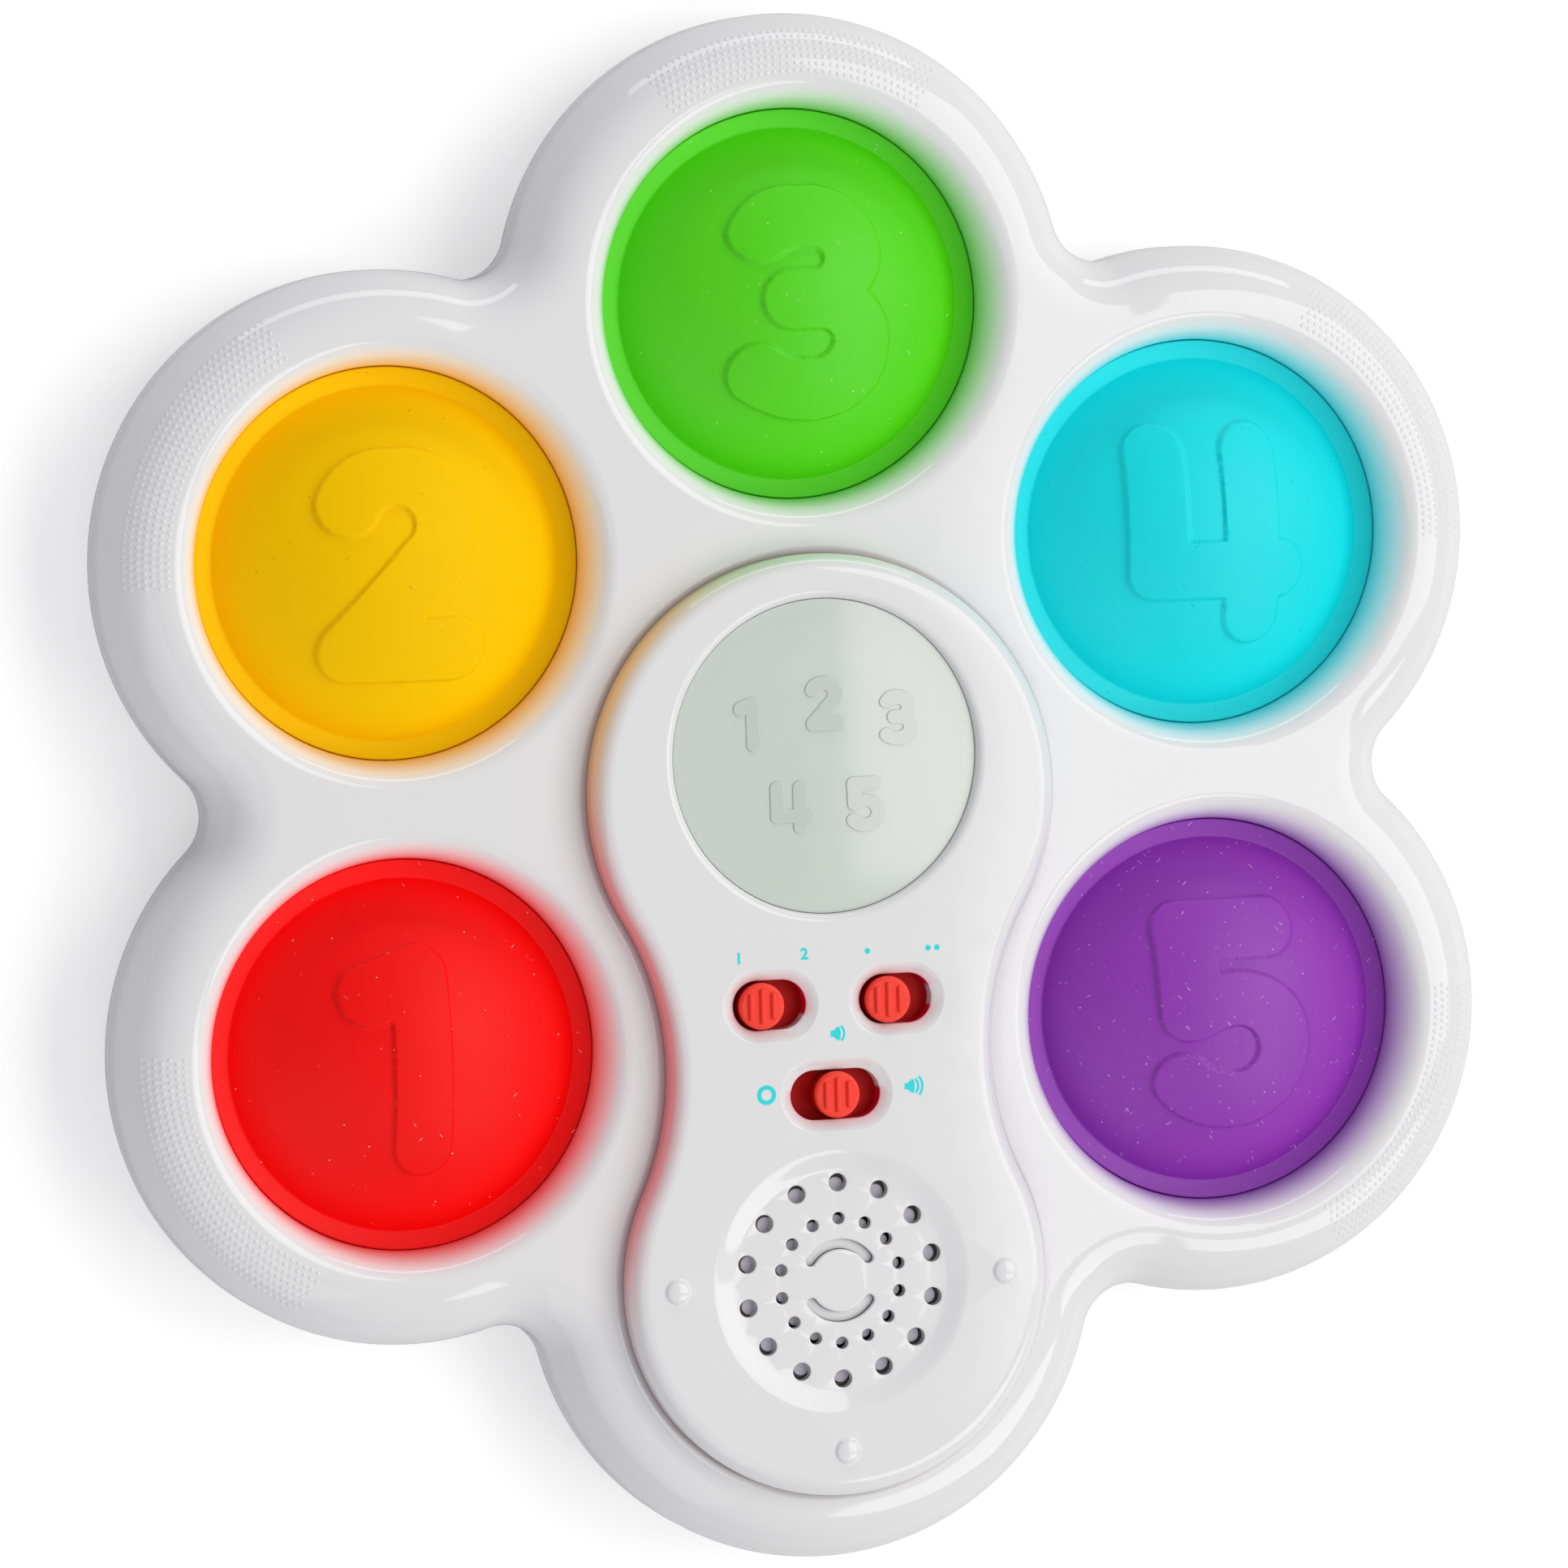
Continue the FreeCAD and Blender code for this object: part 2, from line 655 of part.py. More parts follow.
# Cells lie side by side, turned end for end in series; a plate touches each nub and a coil
# spring presses on each flat end.
cells = []
contacts = []
for step in range(cell_count):
    y = main_board_y + (step - (cell_count - 1) / 2) * cell_pitch
    side = 1 if step % 2 == 0 else -1
    along = at(side, 0)
    middle = at(0, y, cell_middle)
    can_length = cell_length - cell_nub_length
    flat_end = middle - along * (cell_length / 2)
    can = Part.makeCylinder(cell_radius, can_length, flat_end, along)
    nub = Part.makeCylinder(cell_nub_radius, cell_length, flat_end, along)
    cells.append(join([can, nub]))
    wall_face = side * box_length / 2
    nub_face = side * cell_length / 2
    plate = box(min(wall_face, wall_face - side * contact_thick),
                max(wall_face, wall_face - side * contact_thick),
                y - contact_side / 2, y + contact_side / 2,
                cell_middle - contact_side / 2, cell_middle + contact_side / 2)
    stud = Part.makeCylinder(cell_nub_radius, contact_room, at(nub_face, y, cell_middle), along)
    contacts.append(join([plate, stud]))
    back_plate = plate.mirror(at(0, 0, 0), at(1, 0, 0))
    rise = contact_room - contact_thick - spring_wire
    coil = Part.makeHelix(rise / spring_turns, rise, spring_radius)
    section = Part.Wire(Part.Circle(at(spring_radius, 0, 0), at(0, 1, 0), spring_wire).toShape())
    spring = Part.Wire(coil).makePipeShell([section], True, True)
    spring.rotate(at(0, 0, 0), at(0, 1, 0), side * 90)
    spring.translate(at(-side * (box_length / 2 - contact_thick), y, cell_middle))
    contacts.append(back_plate)
    contacts.append(spring)
save("batteries", Part.Compound(cells))
save("battery_contacts", Part.Compound(contacts))


# Bubbles. Each is one silicone moulding; it is parted here at its fold line into the flange,
# which stays clamped, and the dome with its raised numeral, which moves.
def numeral_prism(number):
    edges = []
    last = at(*numerals[number][0][0])
    for stretch in numerals[number][1:]:
        end = at(*stretch[-1])
        if len(stretch) == 2:
            edges.append(arc(last, at(*stretch[0]), end))
        else:
            edges.append(Part.makeLine(last, end))
        last = end
    start = at(*numerals[number][0][0])
    if last.distanceToPoint(start) > 1e-6:
        edges.append(Part.makeLine(last, start))
    return prism(edges, flange_top, dome_top + 2 * numeral_raise)


dome_body = ball(dome_sphere, dome_centre).common(cylinder(dome_radius, flange_top, dome_top + 1))
dome_body = dome_body.fuse(cylinder(dome_radius, flange_bottom, flange_top))
dome_hollow = ball(dome_sphere - dome_wall, dome_centre).common(
    cylinder(dome_radius, flange_bottom - 1, dome_top))
dome_body = dome_body.cut(dome_hollow).removeSplitter()
numeral_skin = ball(dome_sphere + numeral_raise, dome_centre).cut(
    ball(dome_sphere - numeral_root, dome_centre))
flange_shape = tube(flange_radius, flange_inner, flange_bottom, flange_top)
under_crown = dome_sphere - dome_wall
head_edge = dome_centre + math.sqrt(under_crown ** 2 - plunger_head_radius ** 2)
switch_top = key_board_top + push_switch_height + push_button_height
stem_end = switch_top + press_gap + dome_travel
plunger_shape = cylinder(plunger_head_radius, head_edge - plunger_head_thick, dome_top)
plunger_shape = plunger_shape.fuse(cylinder(plunger_stem_radius, stem_end, head_edge))
plunger_shape = plunger_shape.common(ball(under_crown, dome_centre)).removeSplitter()
key_board_shape = block(key_board_width, key_board_length, key_board_bottom, key_board_top)
for side in (-1, 1):
    key_board_shape = key_board_shape.cut(pilot(at(0, side * key_board_post_spacing / 2),
                                                key_board_bottom - 1, key_board_top + 1))
switch_shape = block(push_switch_side, push_switch_side, key_board_top,
                     key_board_top + push_switch_height)
switch_shape = switch_shape.fuse(cylinder(push_button_radius, key_board_top, switch_top))
push_switches = []
clamp_screws = []
board_screws = []
for number, turn in bubble_angles.items():
    x, y = lobe_middle(turn)
    numeral = numeral_prism(number).common(numeral_skin)
    dome = dome_body.fuse(numeral).removeSplitter()
    save(f"bubble_{number}_dome", turned(dome, 0, x, y))
    save(f"bubble_{number}_flange", turned(flange_shape, 0, x, y))
    save(f"bubble_{number}_plunger", turned(plunger_shape, 0, x, y))
    clamp = cylinder(clamp_outer, clamp_bottom, flange_bottom, x, y)
    for place in clamp_screw_places(number):
        clamp = clamp.fuse(ear(place, (x, y), clamp_bottom, flange_bottom))
        clamp = clamp.cut(pilot(place, clamp_bottom - 1, flange_bottom + 1))
        clamp_screws.append(screw(place, clamp_bottom - screw_head_height, short_screw_length))
    clamp = clamp.cut(cylinder(flange_inner, clamp_bottom - 1, flange_bottom + 1, x, y))
    save(f"bubble_{number}_clamp_ring", clamp.removeSplitter())
    save(f"bubble_{number}_switch_board", turned(key_board_shape, turn, x, y))
    push_switches.append(turned(switch_shape, turn, x, y))
    for place in key_board_screw_places(number):
        board_screws.append(screw(place, key_board_top + screw_head_height, short_screw_length, False))
save("push_switches", Part.Compound(push_switches))
save("clamp_ring_screws", Part.Compound(clamp_screws))

# Console cover: one moulding with the lens recess, three knob slots, the grille and three pips.
slots = {"mode": (-upper_slot_x, upper_slot_y, two_step_travel),
         "language": (upper_slot_x, upper_slot_y, two_step_travel),
         "volume": (0.0, lower_slot_y, three_step_travel)}
slot_width = 2 * (knob_radius + knob_gap)


def slot_length(travel):
    return slot_width + travel


console = prism(console_edges(), console_foot, console_top)
console = console.makeFillet(console_edge_round, edges_at(console, console_top))
inside = prism(console_edges(-wall), console_foot - 1, console_under)
inside = inside.makeFillet(console_edge_round - wall, edges_at(inside, console_under))
console = console.cut(inside)
grille_under = console_top - grille_dish - grille_wall
console = console.fuse(cylinder(speaker_radius, grille_under, console_under, 0, speaker_y))
console = console.cut(spun_polygon([(0, console_top + 1), (grille_radius, console_top + 1),
                                    (grille_radius, console_top),
                                    (grille_radius - grille_dish_slope, console_top - grille_dish),
                                    (0, console_top - grille_dish)], 0, speaker_y))
console = console.cut(cylinder(lens_radius, console_under - 1, console_top + 1, 0, lens_offset))
for x, y, travel in slots.values():
    console = console.cut(stadium(slot_length(travel), slot_width, console_under - 1,
                                  console_top + 1, x, y))
lens_rim = [edge for edge in edges_at(console, console_top)
            if abs(edge.BoundBox.YLength - 2 * lens_radius) < 0.01]
slot_rims = [edge for edge in edges_at(console, console_top)
             if edge.BoundBox.YMin > lower_slot_y - slot_width
             and edge.BoundBox.YMax < upper_slot_y + slot_width and edge not in lens_rim
             and edge.BoundBox.XMax < console_waist_radius / 2
             and edge.BoundBox.XMin > -console_waist_radius / 2]
console = console.makeFillet(lens_lip_round, lens_rim)
console = console.makeFillet(slot_edge_round, slot_rims)
holes = []
for step in range(grille_holes):
    angle = 90 + 360 / grille_holes * step
    for circle, radius in ((outer_hole_circle, outer_hole_radius), (inner_hole_circle, inner_hole_radius)):
        place = polar(circle, angle, 0, (0, speaker_y))
        holes.append(cylinder(radius, grille_under - 1, console_top, place.x, place.y))
for middle in (90, 270):
    outer = arc_slot_radius + arc_slot_width / 2
    inner = arc_slot_radius - arc_slot_width / 2
    low = middle - arc_slot_half_angle
    high = middle + arc_slot_half_angle
    foot = (0, speaker_y)
    end = arc_slot_width / 2
    cap_turn = math.degrees(end / arc_slot_radius)
    holes.append(prism([arc(polar(outer, low, 0, foot), polar(outer, middle, 0, foot),
                            polar(outer, high, 0, foot)),
                        arc(polar(outer, high, 0, foot), polar(arc_slot_radius, high + cap_turn, 0, foot),
                            polar(inner, high, 0, foot)),
                        arc(polar(inner, high, 0, foot), polar(inner, middle, 0, foot),
                            polar(inner, low, 0, foot)),
                        arc(polar(inner, low, 0, foot), polar(arc_slot_radius, low - cap_turn, 0, foot),
                            polar(outer, low, 0, foot))], grille_under - 1, console_top))
console = console.cut(holes)
for turn in (0, 180, 270):
    place = polar(pip_circle, turn, 0, (0, speaker_y))
    pip = cylinder(pip_radius, console_under, console_top + pip_height, place.x, place.y)
    console = console.fuse(pip.makeFillet(pip_edge_round, edges_at(pip, console_top + pip_height)))
speaker_rim_bottom = grille_under - gasket_thick - speaker_rim_thick
lens_bottom = console_top - lens_recess - lens_thick
speaker_clamp_bottom = speaker_rim_bottom - speaker_clamp_thick
console_bosses = [(console_screw_places, console_foot, ledge_bottom + short_screw_length),
                  (main_board_screw_places, main_board_top, main_board_height + short_screw_length),
                  (cup_screw_places, lens_bottom, lens_bottom - cup_flange_thick + inner_screw_length),
                  (speaker_screw_places, speaker_rim_bottom, speaker_clamp_bottom + inner_screw_length)]
for places, bottom, tip in console_bosses:
    for place in places:
        console = console.fuse(cylinder(boss_radius, bottom, console_under, place.x, place.y))
        console = console.cut(pilot(place, bottom - 1, tip + boss_spare))
console = console.removeSplitter()
save("console_cover", console)
save("console_screws", Part.Compound([screw(place, ledge_bottom - screw_head_height, short_screw_length)
                                      for place in console_screw_places]))

# Lens, light cup, and the board with its lamps.
lens_edge = console_top - lens_recess
lens_side = lens_radius - lens_side_gap
crown_sphere = (lens_side ** 2 + lens_crown ** 2) / (2 * lens_crown)
lens = cylinder(lens_side, lens_bottom, lens_edge + lens_crown + 1, 0, lens_offset)
lens = lens.common(ball(crown_sphere, lens_edge + lens_crown - crown_sphere, 0, lens_offset))
lens = lens.fuse(cylinder(lens_radius + lens_flange_width, lens_bottom, console_under, 0, lens_offset))
save("display_lens", lens.removeSplitter())
cup_bottom = lens_bottom - cup_height
cup_floor = cup_bottom + cup_wall
flange_under = lens_bottom - cup_flange_thick
light_cup = spun_polygon([(0, cup_bottom), (cup_outer, cup_bottom), (cup_outer, flange_under),
                          (lens_radius + lens_flange_width, flange_under),
                          (lens_radius + lens_flange_width, lens_bottom),
                          (cup_inner_radius, lens_bottom), (cup_inner_radius, cup_floor),
                          (0, cup_floor)], 0, lens_offset)
for place in cup_screw_places:
    cup_ear = ear(place, (0, lens_offset), flange_under, lens_bottom)
    cup_ear = cup_ear.cut(cylinder(cup_outer, flange_under, lens_bottom, 0, lens_offset))
    light_cup = light_cup.fuse(cup_ear).cut(pilot(place, flange_under - 1, lens_bottom + 1))
led_board = cylinder(cup_inner_radius - led_board_gap, cup_floor, cup_floor + board_thick, 0, lens_offset)
led_board_screws = [polar(led_board_screw_circle, turn, 0, (0, lens_offset)) for turn in (0, 180)]
for place in led_board_screws:
    tip = cup_floor + board_thick - short_screw_length
    light_cup = light_cup.fuse(cylinder(boss_radius, tip - pilot_spare, cup_bottom, place.x, place.y))
    light_cup = light_cup.cut(pilot(place, tip - post_spare, cup_floor + 1))
    led_board = led_board.cut(pilot(place, cup_floor - 1, cup_floor + board_thick + 1))
    board_screws.append(screw(place, cup_floor + board_thick + screw_head_height,
                              short_screw_length, False))
save("light_cup", light_cup.removeSplitter())
save("led_board", led_board)
leds = []
for step in range(led_count):
    place = polar(led_circle, 360 / led_count * step, 0, (0, lens_offset))
    led_base = cup_floor + board_thick
    led = cylinder(led_radius, led_base, led_base + led_height, place.x, place.y)
    leds.append(led.makeFillet(led_top_round, edges_at(led, led_base + led_height)))
save("leds", Part.Compound(leds))

# Main board with its chip, capacitors and three slide switches. Each knob has a flat plate under
# the console that hides the slot, and a socket for the switch's lever.
main_board = block(main_board_length, main_board_width, main_board_height, main_board_top, 0, main_board_y)
for place in main_board_screw_places:
    main_board = main_board.cut(pilot(place, main_board_height - 1, main_board_top + 1))
    board_screws.append(screw(place, main_board_height - screw_head_height, short_screw_length))
save("main_circuit_board", main_board)
save("board_screws", Part.Compound(board_screws))
save("sound_chip", cylinder(chip_radius, main_board_height - chip_height, main_board_height,
                            0, main_board_y))
save("capacitors", Part.Compound([cylinder(capacitor_radius, main_board_top,
                                           main_board_top + capacitor_height,
                                           side * capacitor_x, main_board_y - capacitor_drop)
                                  for side in (-1, 1)]))
knob_top = console_top + knob_stand
for name, (slot_x, y, travel) in slots.items():
    x = slot_x if name == "volume" else slot_x - travel / 2
    case_length = travel + switch_case_margin
    case = block(case_length, switch_case_width, main_board_top, case_top, slot_x, y)
    case = case.cut(block(case_length - 2 * switch_case_wall, switch_case_width - 2 * switch_case_wall,
                          main_board_top + switch_case_wall, case_top - switch_case_wall, slot_x, y))
    case = case.cut(block(travel + lever_side + 2 * knob_gap, lever_side + 2 * knob_gap,
                          main_board_top + switch_case_wall, case_top + 1, slot_x, y))
    save(name + "_switch_case", case)
    lever = block(lever_side, lever_side, case_top - lever_reach,
                  plate_bottom + lever_socket_depth, x, y)
    save(name + "_switch_lever", lever)
    stem = cylinder(knob_radius, plate_bottom, knob_top - knob_rib_height, x, y)
    knob = stem.makeFillet(knob_top_round, edges_at(stem, knob_top - knob_rib_height))
    knob = knob.fuse(block(slot_length(travel) + travel + 2 * slide_plate_side,
                           slot_width + 2 * slide_plate_side, plate_bottom, plate_top, x, y))
    for step, length in enumerate(knob_rib_lengths):
        rib = stadium(length, knob_rib_width, knob_top - 2 * knob_rib_height, knob_top)
        knob = knob.fuse(turned(rib, 90, x + (step - 1) * knob_rib_pitch, y))
    socket = lever_side + 2 * lever_fit
    knob = knob.cut(block(socket, socket, plate_bottom - 1, plate_bottom + lever_socket_depth, x, y))
    save(name + "_knob", knob.removeSplitter())

# Speaker, pressed against a gasket under the grille by a clamp ring.
rim_top = grille_under - gasket_thick
frame_bottom = rim_top - speaker_depth
rim_inner = speaker_radius - speaker_rim_width
save("speaker_gasket", tube(speaker_radius, rim_inner, rim_top, grille_under, 0, speaker_y))
save("speaker_frame", spun_polygon([
    (speaker_radius, rim_top), (speaker_radius, speaker_rim_bottom), (rim_inner, speaker_rim_bottom),
    (speaker_back_radius, frame_bottom), (magnet_radius / 2, frame_bottom),
    (magnet_radius / 2, frame_bottom + speaker_sheet), (speaker_back_radius, frame_bottom + speaker_sheet),
    (rim_inner - speaker_sheet, rim_top)], 0, speaker_y))
cone_low = frame_bottom + speaker_sheet
save("speaker_cone", spun_polygon([
    (rim_inner - speaker_sheet, rim_top), (rim_inner - speaker_sheet - 2 * cone_sheet, rim_top),
    (dust_cap_radius, cone_low + 2 * cone_sheet), (0, cone_low + 4 * cone_sheet),
    (0, cone_low + 2 * cone_sheet), (dust_cap_radius, cone_low)], 0, speaker_y))
save("speaker_magnet", cylinder(magnet_radius, frame_bottom - magnet_thick, frame_bottom, 0, speaker_y))
clamp = tube(speaker_radius, rim_inner, speaker_clamp_bottom, speaker_rim_bottom,
             0, speaker_y)
inner_screws = [screw(place, flange_under - screw_head_height, inner_screw_length)
                for place in cup_screw_places]
for place in speaker_screw_places:
    clamp = clamp.fuse(ear(place, (0, speaker_y), speaker_clamp_bottom, speaker_rim_bottom))
    clamp = clamp.cut(pilot(place, speaker_clamp_bottom - 1, speaker_rim_bottom + 1))
    inner_screws.append(screw(place, speaker_clamp_bottom - screw_head_height, inner_screw_length))
save("speaker_clamp", clamp.removeSplitter())
save("cup_and_speaker_screws", Part.Compound(inner_screws))
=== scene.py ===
import json
import math

import bmesh
import bpy
import numpy as np
from mathutils import Matrix, Vector


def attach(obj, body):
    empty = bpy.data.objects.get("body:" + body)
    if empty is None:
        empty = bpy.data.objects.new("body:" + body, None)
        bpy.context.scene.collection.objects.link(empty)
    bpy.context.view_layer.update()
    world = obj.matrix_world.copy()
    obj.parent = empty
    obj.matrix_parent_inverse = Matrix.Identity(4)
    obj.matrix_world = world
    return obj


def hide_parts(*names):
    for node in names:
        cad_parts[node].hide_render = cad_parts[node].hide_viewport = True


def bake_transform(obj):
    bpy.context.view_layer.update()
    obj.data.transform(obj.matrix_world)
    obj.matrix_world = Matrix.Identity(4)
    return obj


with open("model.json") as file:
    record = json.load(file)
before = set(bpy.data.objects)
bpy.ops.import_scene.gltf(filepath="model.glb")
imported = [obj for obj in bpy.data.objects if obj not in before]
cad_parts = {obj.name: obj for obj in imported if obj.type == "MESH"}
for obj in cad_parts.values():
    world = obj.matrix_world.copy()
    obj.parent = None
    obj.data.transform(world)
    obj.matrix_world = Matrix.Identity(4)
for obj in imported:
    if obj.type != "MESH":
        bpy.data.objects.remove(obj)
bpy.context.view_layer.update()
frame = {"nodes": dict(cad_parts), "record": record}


# Upper casing: one glossy white injection moulding, a flower of six lobes with five lipped
# wells. Six screws from below hold it on the lower casing. Millimetres from here on; a
# finished piece is scaled to metres in its mesh.
hex_radius = 84.0
lobe_radius = 50.0
notch_radius = 8.5
shell_top = 28.0
shell_seam = 13.0
shell_wall = 2.2
shoulder_round = 11.0
well_radius = 33.6
lip_across = 5.1
lip_down = 9.7
lip_radius = well_radius + lip_across
bubble_turns = {1: 210, 2: 150, 3: 90, 4: 30, 5: 330}
# The bubbles' colours; below they also give the painted reflections on the lips and the console's
# wall.
bubble_shades = {1: (0.95, 0.02, 0.03), 2: (1.0, 0.50, 0.0), 3: (0.12, 0.62, 0.02),
                 4: (0.0, 0.72, 0.80), 5: (0.33, 0.06, 0.50)}
bubble_middles = {}
for number, turn in bubble_turns.items():
    along = math.radians(turn)
    bubble_middles[number] = (hex_radius * math.cos(along), hex_radius * math.sin(along))

# Two lobes meet in a hollow corner whose arc touches both of them.
notch_distance = hex_radius * math.cos(math.pi / 6)
notch_distance += math.sqrt((lobe_radius + notch_radius) ** 2 - (hex_radius / 2) ** 2)
half_lobe_turn = math.atan2(notch_distance * 0.5,
                            notch_distance * math.cos(math.pi / 6) - hex_radius)

# The console's outline: a large arc round the middle, a smaller one round the lowest lobe and a
# hollow waist on each side. Its foot stands in a groove, and the casing falls a little towards it.
console_upper = 41.2
console_lower = 37.4
console_foot = 26.8
waist_radius = 50.0
groove_edge = console_upper + 0.03
valley_width = 1.45
valley_fall = 0.1
valley_steps = 4
to_upper = console_upper + waist_radius
to_lower = console_lower + waist_radius
waist_y = -(hex_radius ** 2 + to_upper ** 2 - to_lower ** 2) / (2 * hex_radius)
waist_x = math.sqrt(to_upper ** 2 - waist_y ** 2)
upper_angle = math.atan2(waist_y, waist_x)
lower_angle = math.atan2(waist_y + hex_radius, waist_x)
waist_turn = lower_angle - upper_angle
console_start = (math.cos(upper_angle), math.sin(upper_angle))
console_arcs = [((0, 0), math.pi - 2 * upper_angle, (0, 0), 120),
                ((-waist_x, waist_y), -waist_turn, (0, 0), 48),
                ((0, -hex_radius), math.pi + 2 * lower_angle, (0, 0), 120),
                ((waist_x, waist_y), -waist_turn, (0, 0), 48)]


def join(bm, part):
    """Adds a smaller mesh to a larger one and frees it."""
    carrier = bpy.data.meshes.new("part")
    part.to_mesh(carrier)
    part.free()
    bm.from_mesh(carrier)
    bpy.data.meshes.remove(carrier)


def sweep(bm, foot, outward, section, path):
    """Carries a section of (distance outwards, height) points along arcs and straight runs."""
    strip = bmesh.new()
    verts = [strip.verts.new((foot[0] + outward[0] * out, foot[1] + outward[1] * out, z))
             for out, z in section]
    geom = verts + [strip.edges.new(pair) for pair in zip(verts, verts[1:])]
    for middle, turn, shift, steps in path:
        made = bmesh.ops.spin(strip, geom=geom, cent=(middle[0], middle[1], 0), axis=(0, 0, 1),
                              dvec=(shift[0], shift[1], 0), angle=turn, steps=steps,
                              use_duplicate=False)
        geom = made["geom_last"]
    join(bm, strip)


def sweep_flower(bm, section):
    """Carries a section round the six lobes, its distances counted from the casing's edge."""
    path = []
    for step in range(6):
        here = math.radians(30 + 60 * step)
        corner = here + math.pi / 6
        path.append(((hex_radius * math.cos(here), hex_radius * math.sin(here)),
                     2 * half_lobe_turn, (0, 0), 72))
        path.append(((notch_distance * math.cos(corner), notch_distance * math.sin(corner)),
                     math.pi / 3 - 2 * half_lobe_turn, (0, 0), 32))
    start = math.pi / 6 - half_lobe_turn
    foot = (hex_radius * math.cos(math.pi / 6), hex_radius * math.sin(math.pi / 6))
    sweep(bm, foot, (math.cos(start), math.sin(start)),
          [(lobe_radius + out, z) for out, z in section], path)


def ring(bm, x, y, section, steps=128):
    """Turns a section once round an upright axis."""
    sweep(bm, (x, y), (1, 0), section, [((x, y), 2 * math.pi, (0, 0), steps)])


def quarter(out, z, across, up, start, end, steps):
    """Points of an elliptical arc round (out, z), from one angle to another in degrees."""
    return [(out + across * math.cos(math.radians(start + (end - start) * i / steps)),
             z + up * math.sin(math.radians(start + (end - start) * i / steps)))
            for i in range(steps + 1)]


def fill_level(bm, height):
    """Closes the flat area between all the open rims at one height."""
    rims = [edge for edge in bm.edges if len(edge.link_faces) < 2
            and all(abs(vert.co.z - height) < 1e-3 for vert in edge.verts)]
    bmesh.ops.triangle_fill(bm, use_beauty=True, use_dissolve=False, edges=rims, normal=(0, 0, 1))


def merge(bm):
    """Closes the seams between the strips and turns all faces outwards."""
    bmesh.ops.remove_doubles(bm, verts=bm.verts, dist=0.004)
    bmesh.ops.recalc_face_normals(bm, faces=bm.faces)


def finish_piece(name, bm, body, surface, wall=0.0, crease=40):
    """Writes the mesh in metres, smooth but for its sharp corners, and fixes it to its body."""
    bmesh.ops.scale(bm, vec=(0.001, 0.001, 0.001), verts=bm.verts)
    mesh = bpy.data.meshes.new(name)
    bm.to_mesh(mesh)
    bm.free()
    mesh.shade_smooth()
    mesh.set_sharp_from_angle(angle=math.radians(crease))
    mesh.materials.append(surface)
    piece = bpy.data.objects.new(name, mesh)
    bpy.context.scene.collection.objects.link(piece)
    if wall:
        thick = piece.modifiers.new("wall", "SOLIDIFY")
        thick.thickness = wall * 0.001
        thick.offset = -1
        thick.use_even_offset = True
    even = piece.modifiers.new("even_shine", "WEIGHTED_NORMAL")
    even.keep_sharp = True
    if body:
        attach(piece, body)
    return piece


def moulded(name, colour, roughness, grain=600.0, relief=0.02, mottle=0.02, soft=0.0,
            specular=0.5):
    """Moulded plastic or rubber: its colour wanders a little, and its skin has a faint grain."""
    surface = bpy.data.materials.new(name)
    surface.use_nodes = True
    nodes = surface.node_tree.nodes
    link = surface.node_tree.links.new
    shader = nodes["Principled BSDF"]
    shader.inputs["Roughness"].default_value = roughness
    shader.inputs["Specular IOR Level"].default_value = specular
    if soft:
        shader.inputs["Subsurface Weight"].default_value = soft
        shader.inputs["Subsurface Radius"].default_value = (1.0, 1.0, 1.0)
        shader.inputs["Subsurface Scale"].default_value = 0.002
    place = nodes.new("ShaderNodeTexCoord")
    drift = nodes.new("ShaderNodeTexNoise")
    drift.inputs["Scale"].default_value = 45.0
    drift.inputs["Detail"].default_value = 3.0
    link(place.outputs["Object"], drift.inputs["Vector"])
    tint = nodes.new("ShaderNodeMix")
    tint.data_type = "RGBA"
    low = [channel * (1 - mottle) for channel in colour]
    high = [min(1.0, channel * (1 + mottle)) for channel in colour]
    tint.inputs["A"].default_value = (*low, 1)
    tint.inputs["B"].default_value = (*high, 1)
    link(drift.outputs["Fac"], tint.inputs["Factor"])
    link(tint.outputs["Result"], shader.inputs["Base Color"])
    skin = nodes.new("ShaderNodeTexNoise")
    skin.inputs["Scale"].default_value = grain
    skin.inputs["Detail"].default_value = 2.0
    link(place.outputs["Object"], skin.inputs["Vector"])
    bump = nodes.new("ShaderNodeBump")
    bump.inputs["Strength"].default_value = relief
    bump.inputs["Distance"].default_value = 0.001
    link(skin.outputs["Fac"], bump.inputs["Height"])
    link(bump.outputs["Normal"], shader.inputs["Normal"])
    return surface


casing_white = (0.81, 0.81, 0.815)
white_gloss = moulded("white_gloss_plastic", casing_white, 0.07, grain=70, relief=0.006,
                      mottle=0.008)
painted_light_gloss = moulded("white_plastic_painted_light", casing_white, 0.07, grain=70, relief=0.006, mottle=0.008)

# Painted light and shade: this white is blended with painted colours on the casing and the
# console. Towards a lip's foot its bubble's colour is painted in, as a painted reflection and
# bounce of the bubble. The colour attribute "through" holds these painted colours, and its alpha
# how much of them shows.
nodes = painted_light_gloss.node_tree.nodes
link = painted_light_gloss.node_tree.links.new
shader = nodes["Principled BSDF"]
white = shader.inputs["Base Color"].links[0].from_socket
layer = nodes.new("ShaderNodeAttribute")
layer.attribute_name = "through"
painted_light_mix = nodes.new("ShaderNodeMix")
painted_light_mix.data_type = "RGBA"
link(layer.outputs["Alpha"], painted_light_mix.inputs["Factor"])
link(white, painted_light_mix.inputs["A"])
link(layer.outputs["Color"], painted_light_mix.inputs["B"])
link(painted_light_mix.outputs["Result"], shader.inputs["Base Color"])


def painted_light_layer(piece):
    """Gives a piece its "through" attribute for painted light and shade, with nothing painted yet.
    """
    layer = piece.data.color_attributes.new("through", "FLOAT_COLOR", "POINT")
    layer.data.foreach_set("color", [1, 1, 1, 0] * len(piece.data.vertices))
    return layer.data


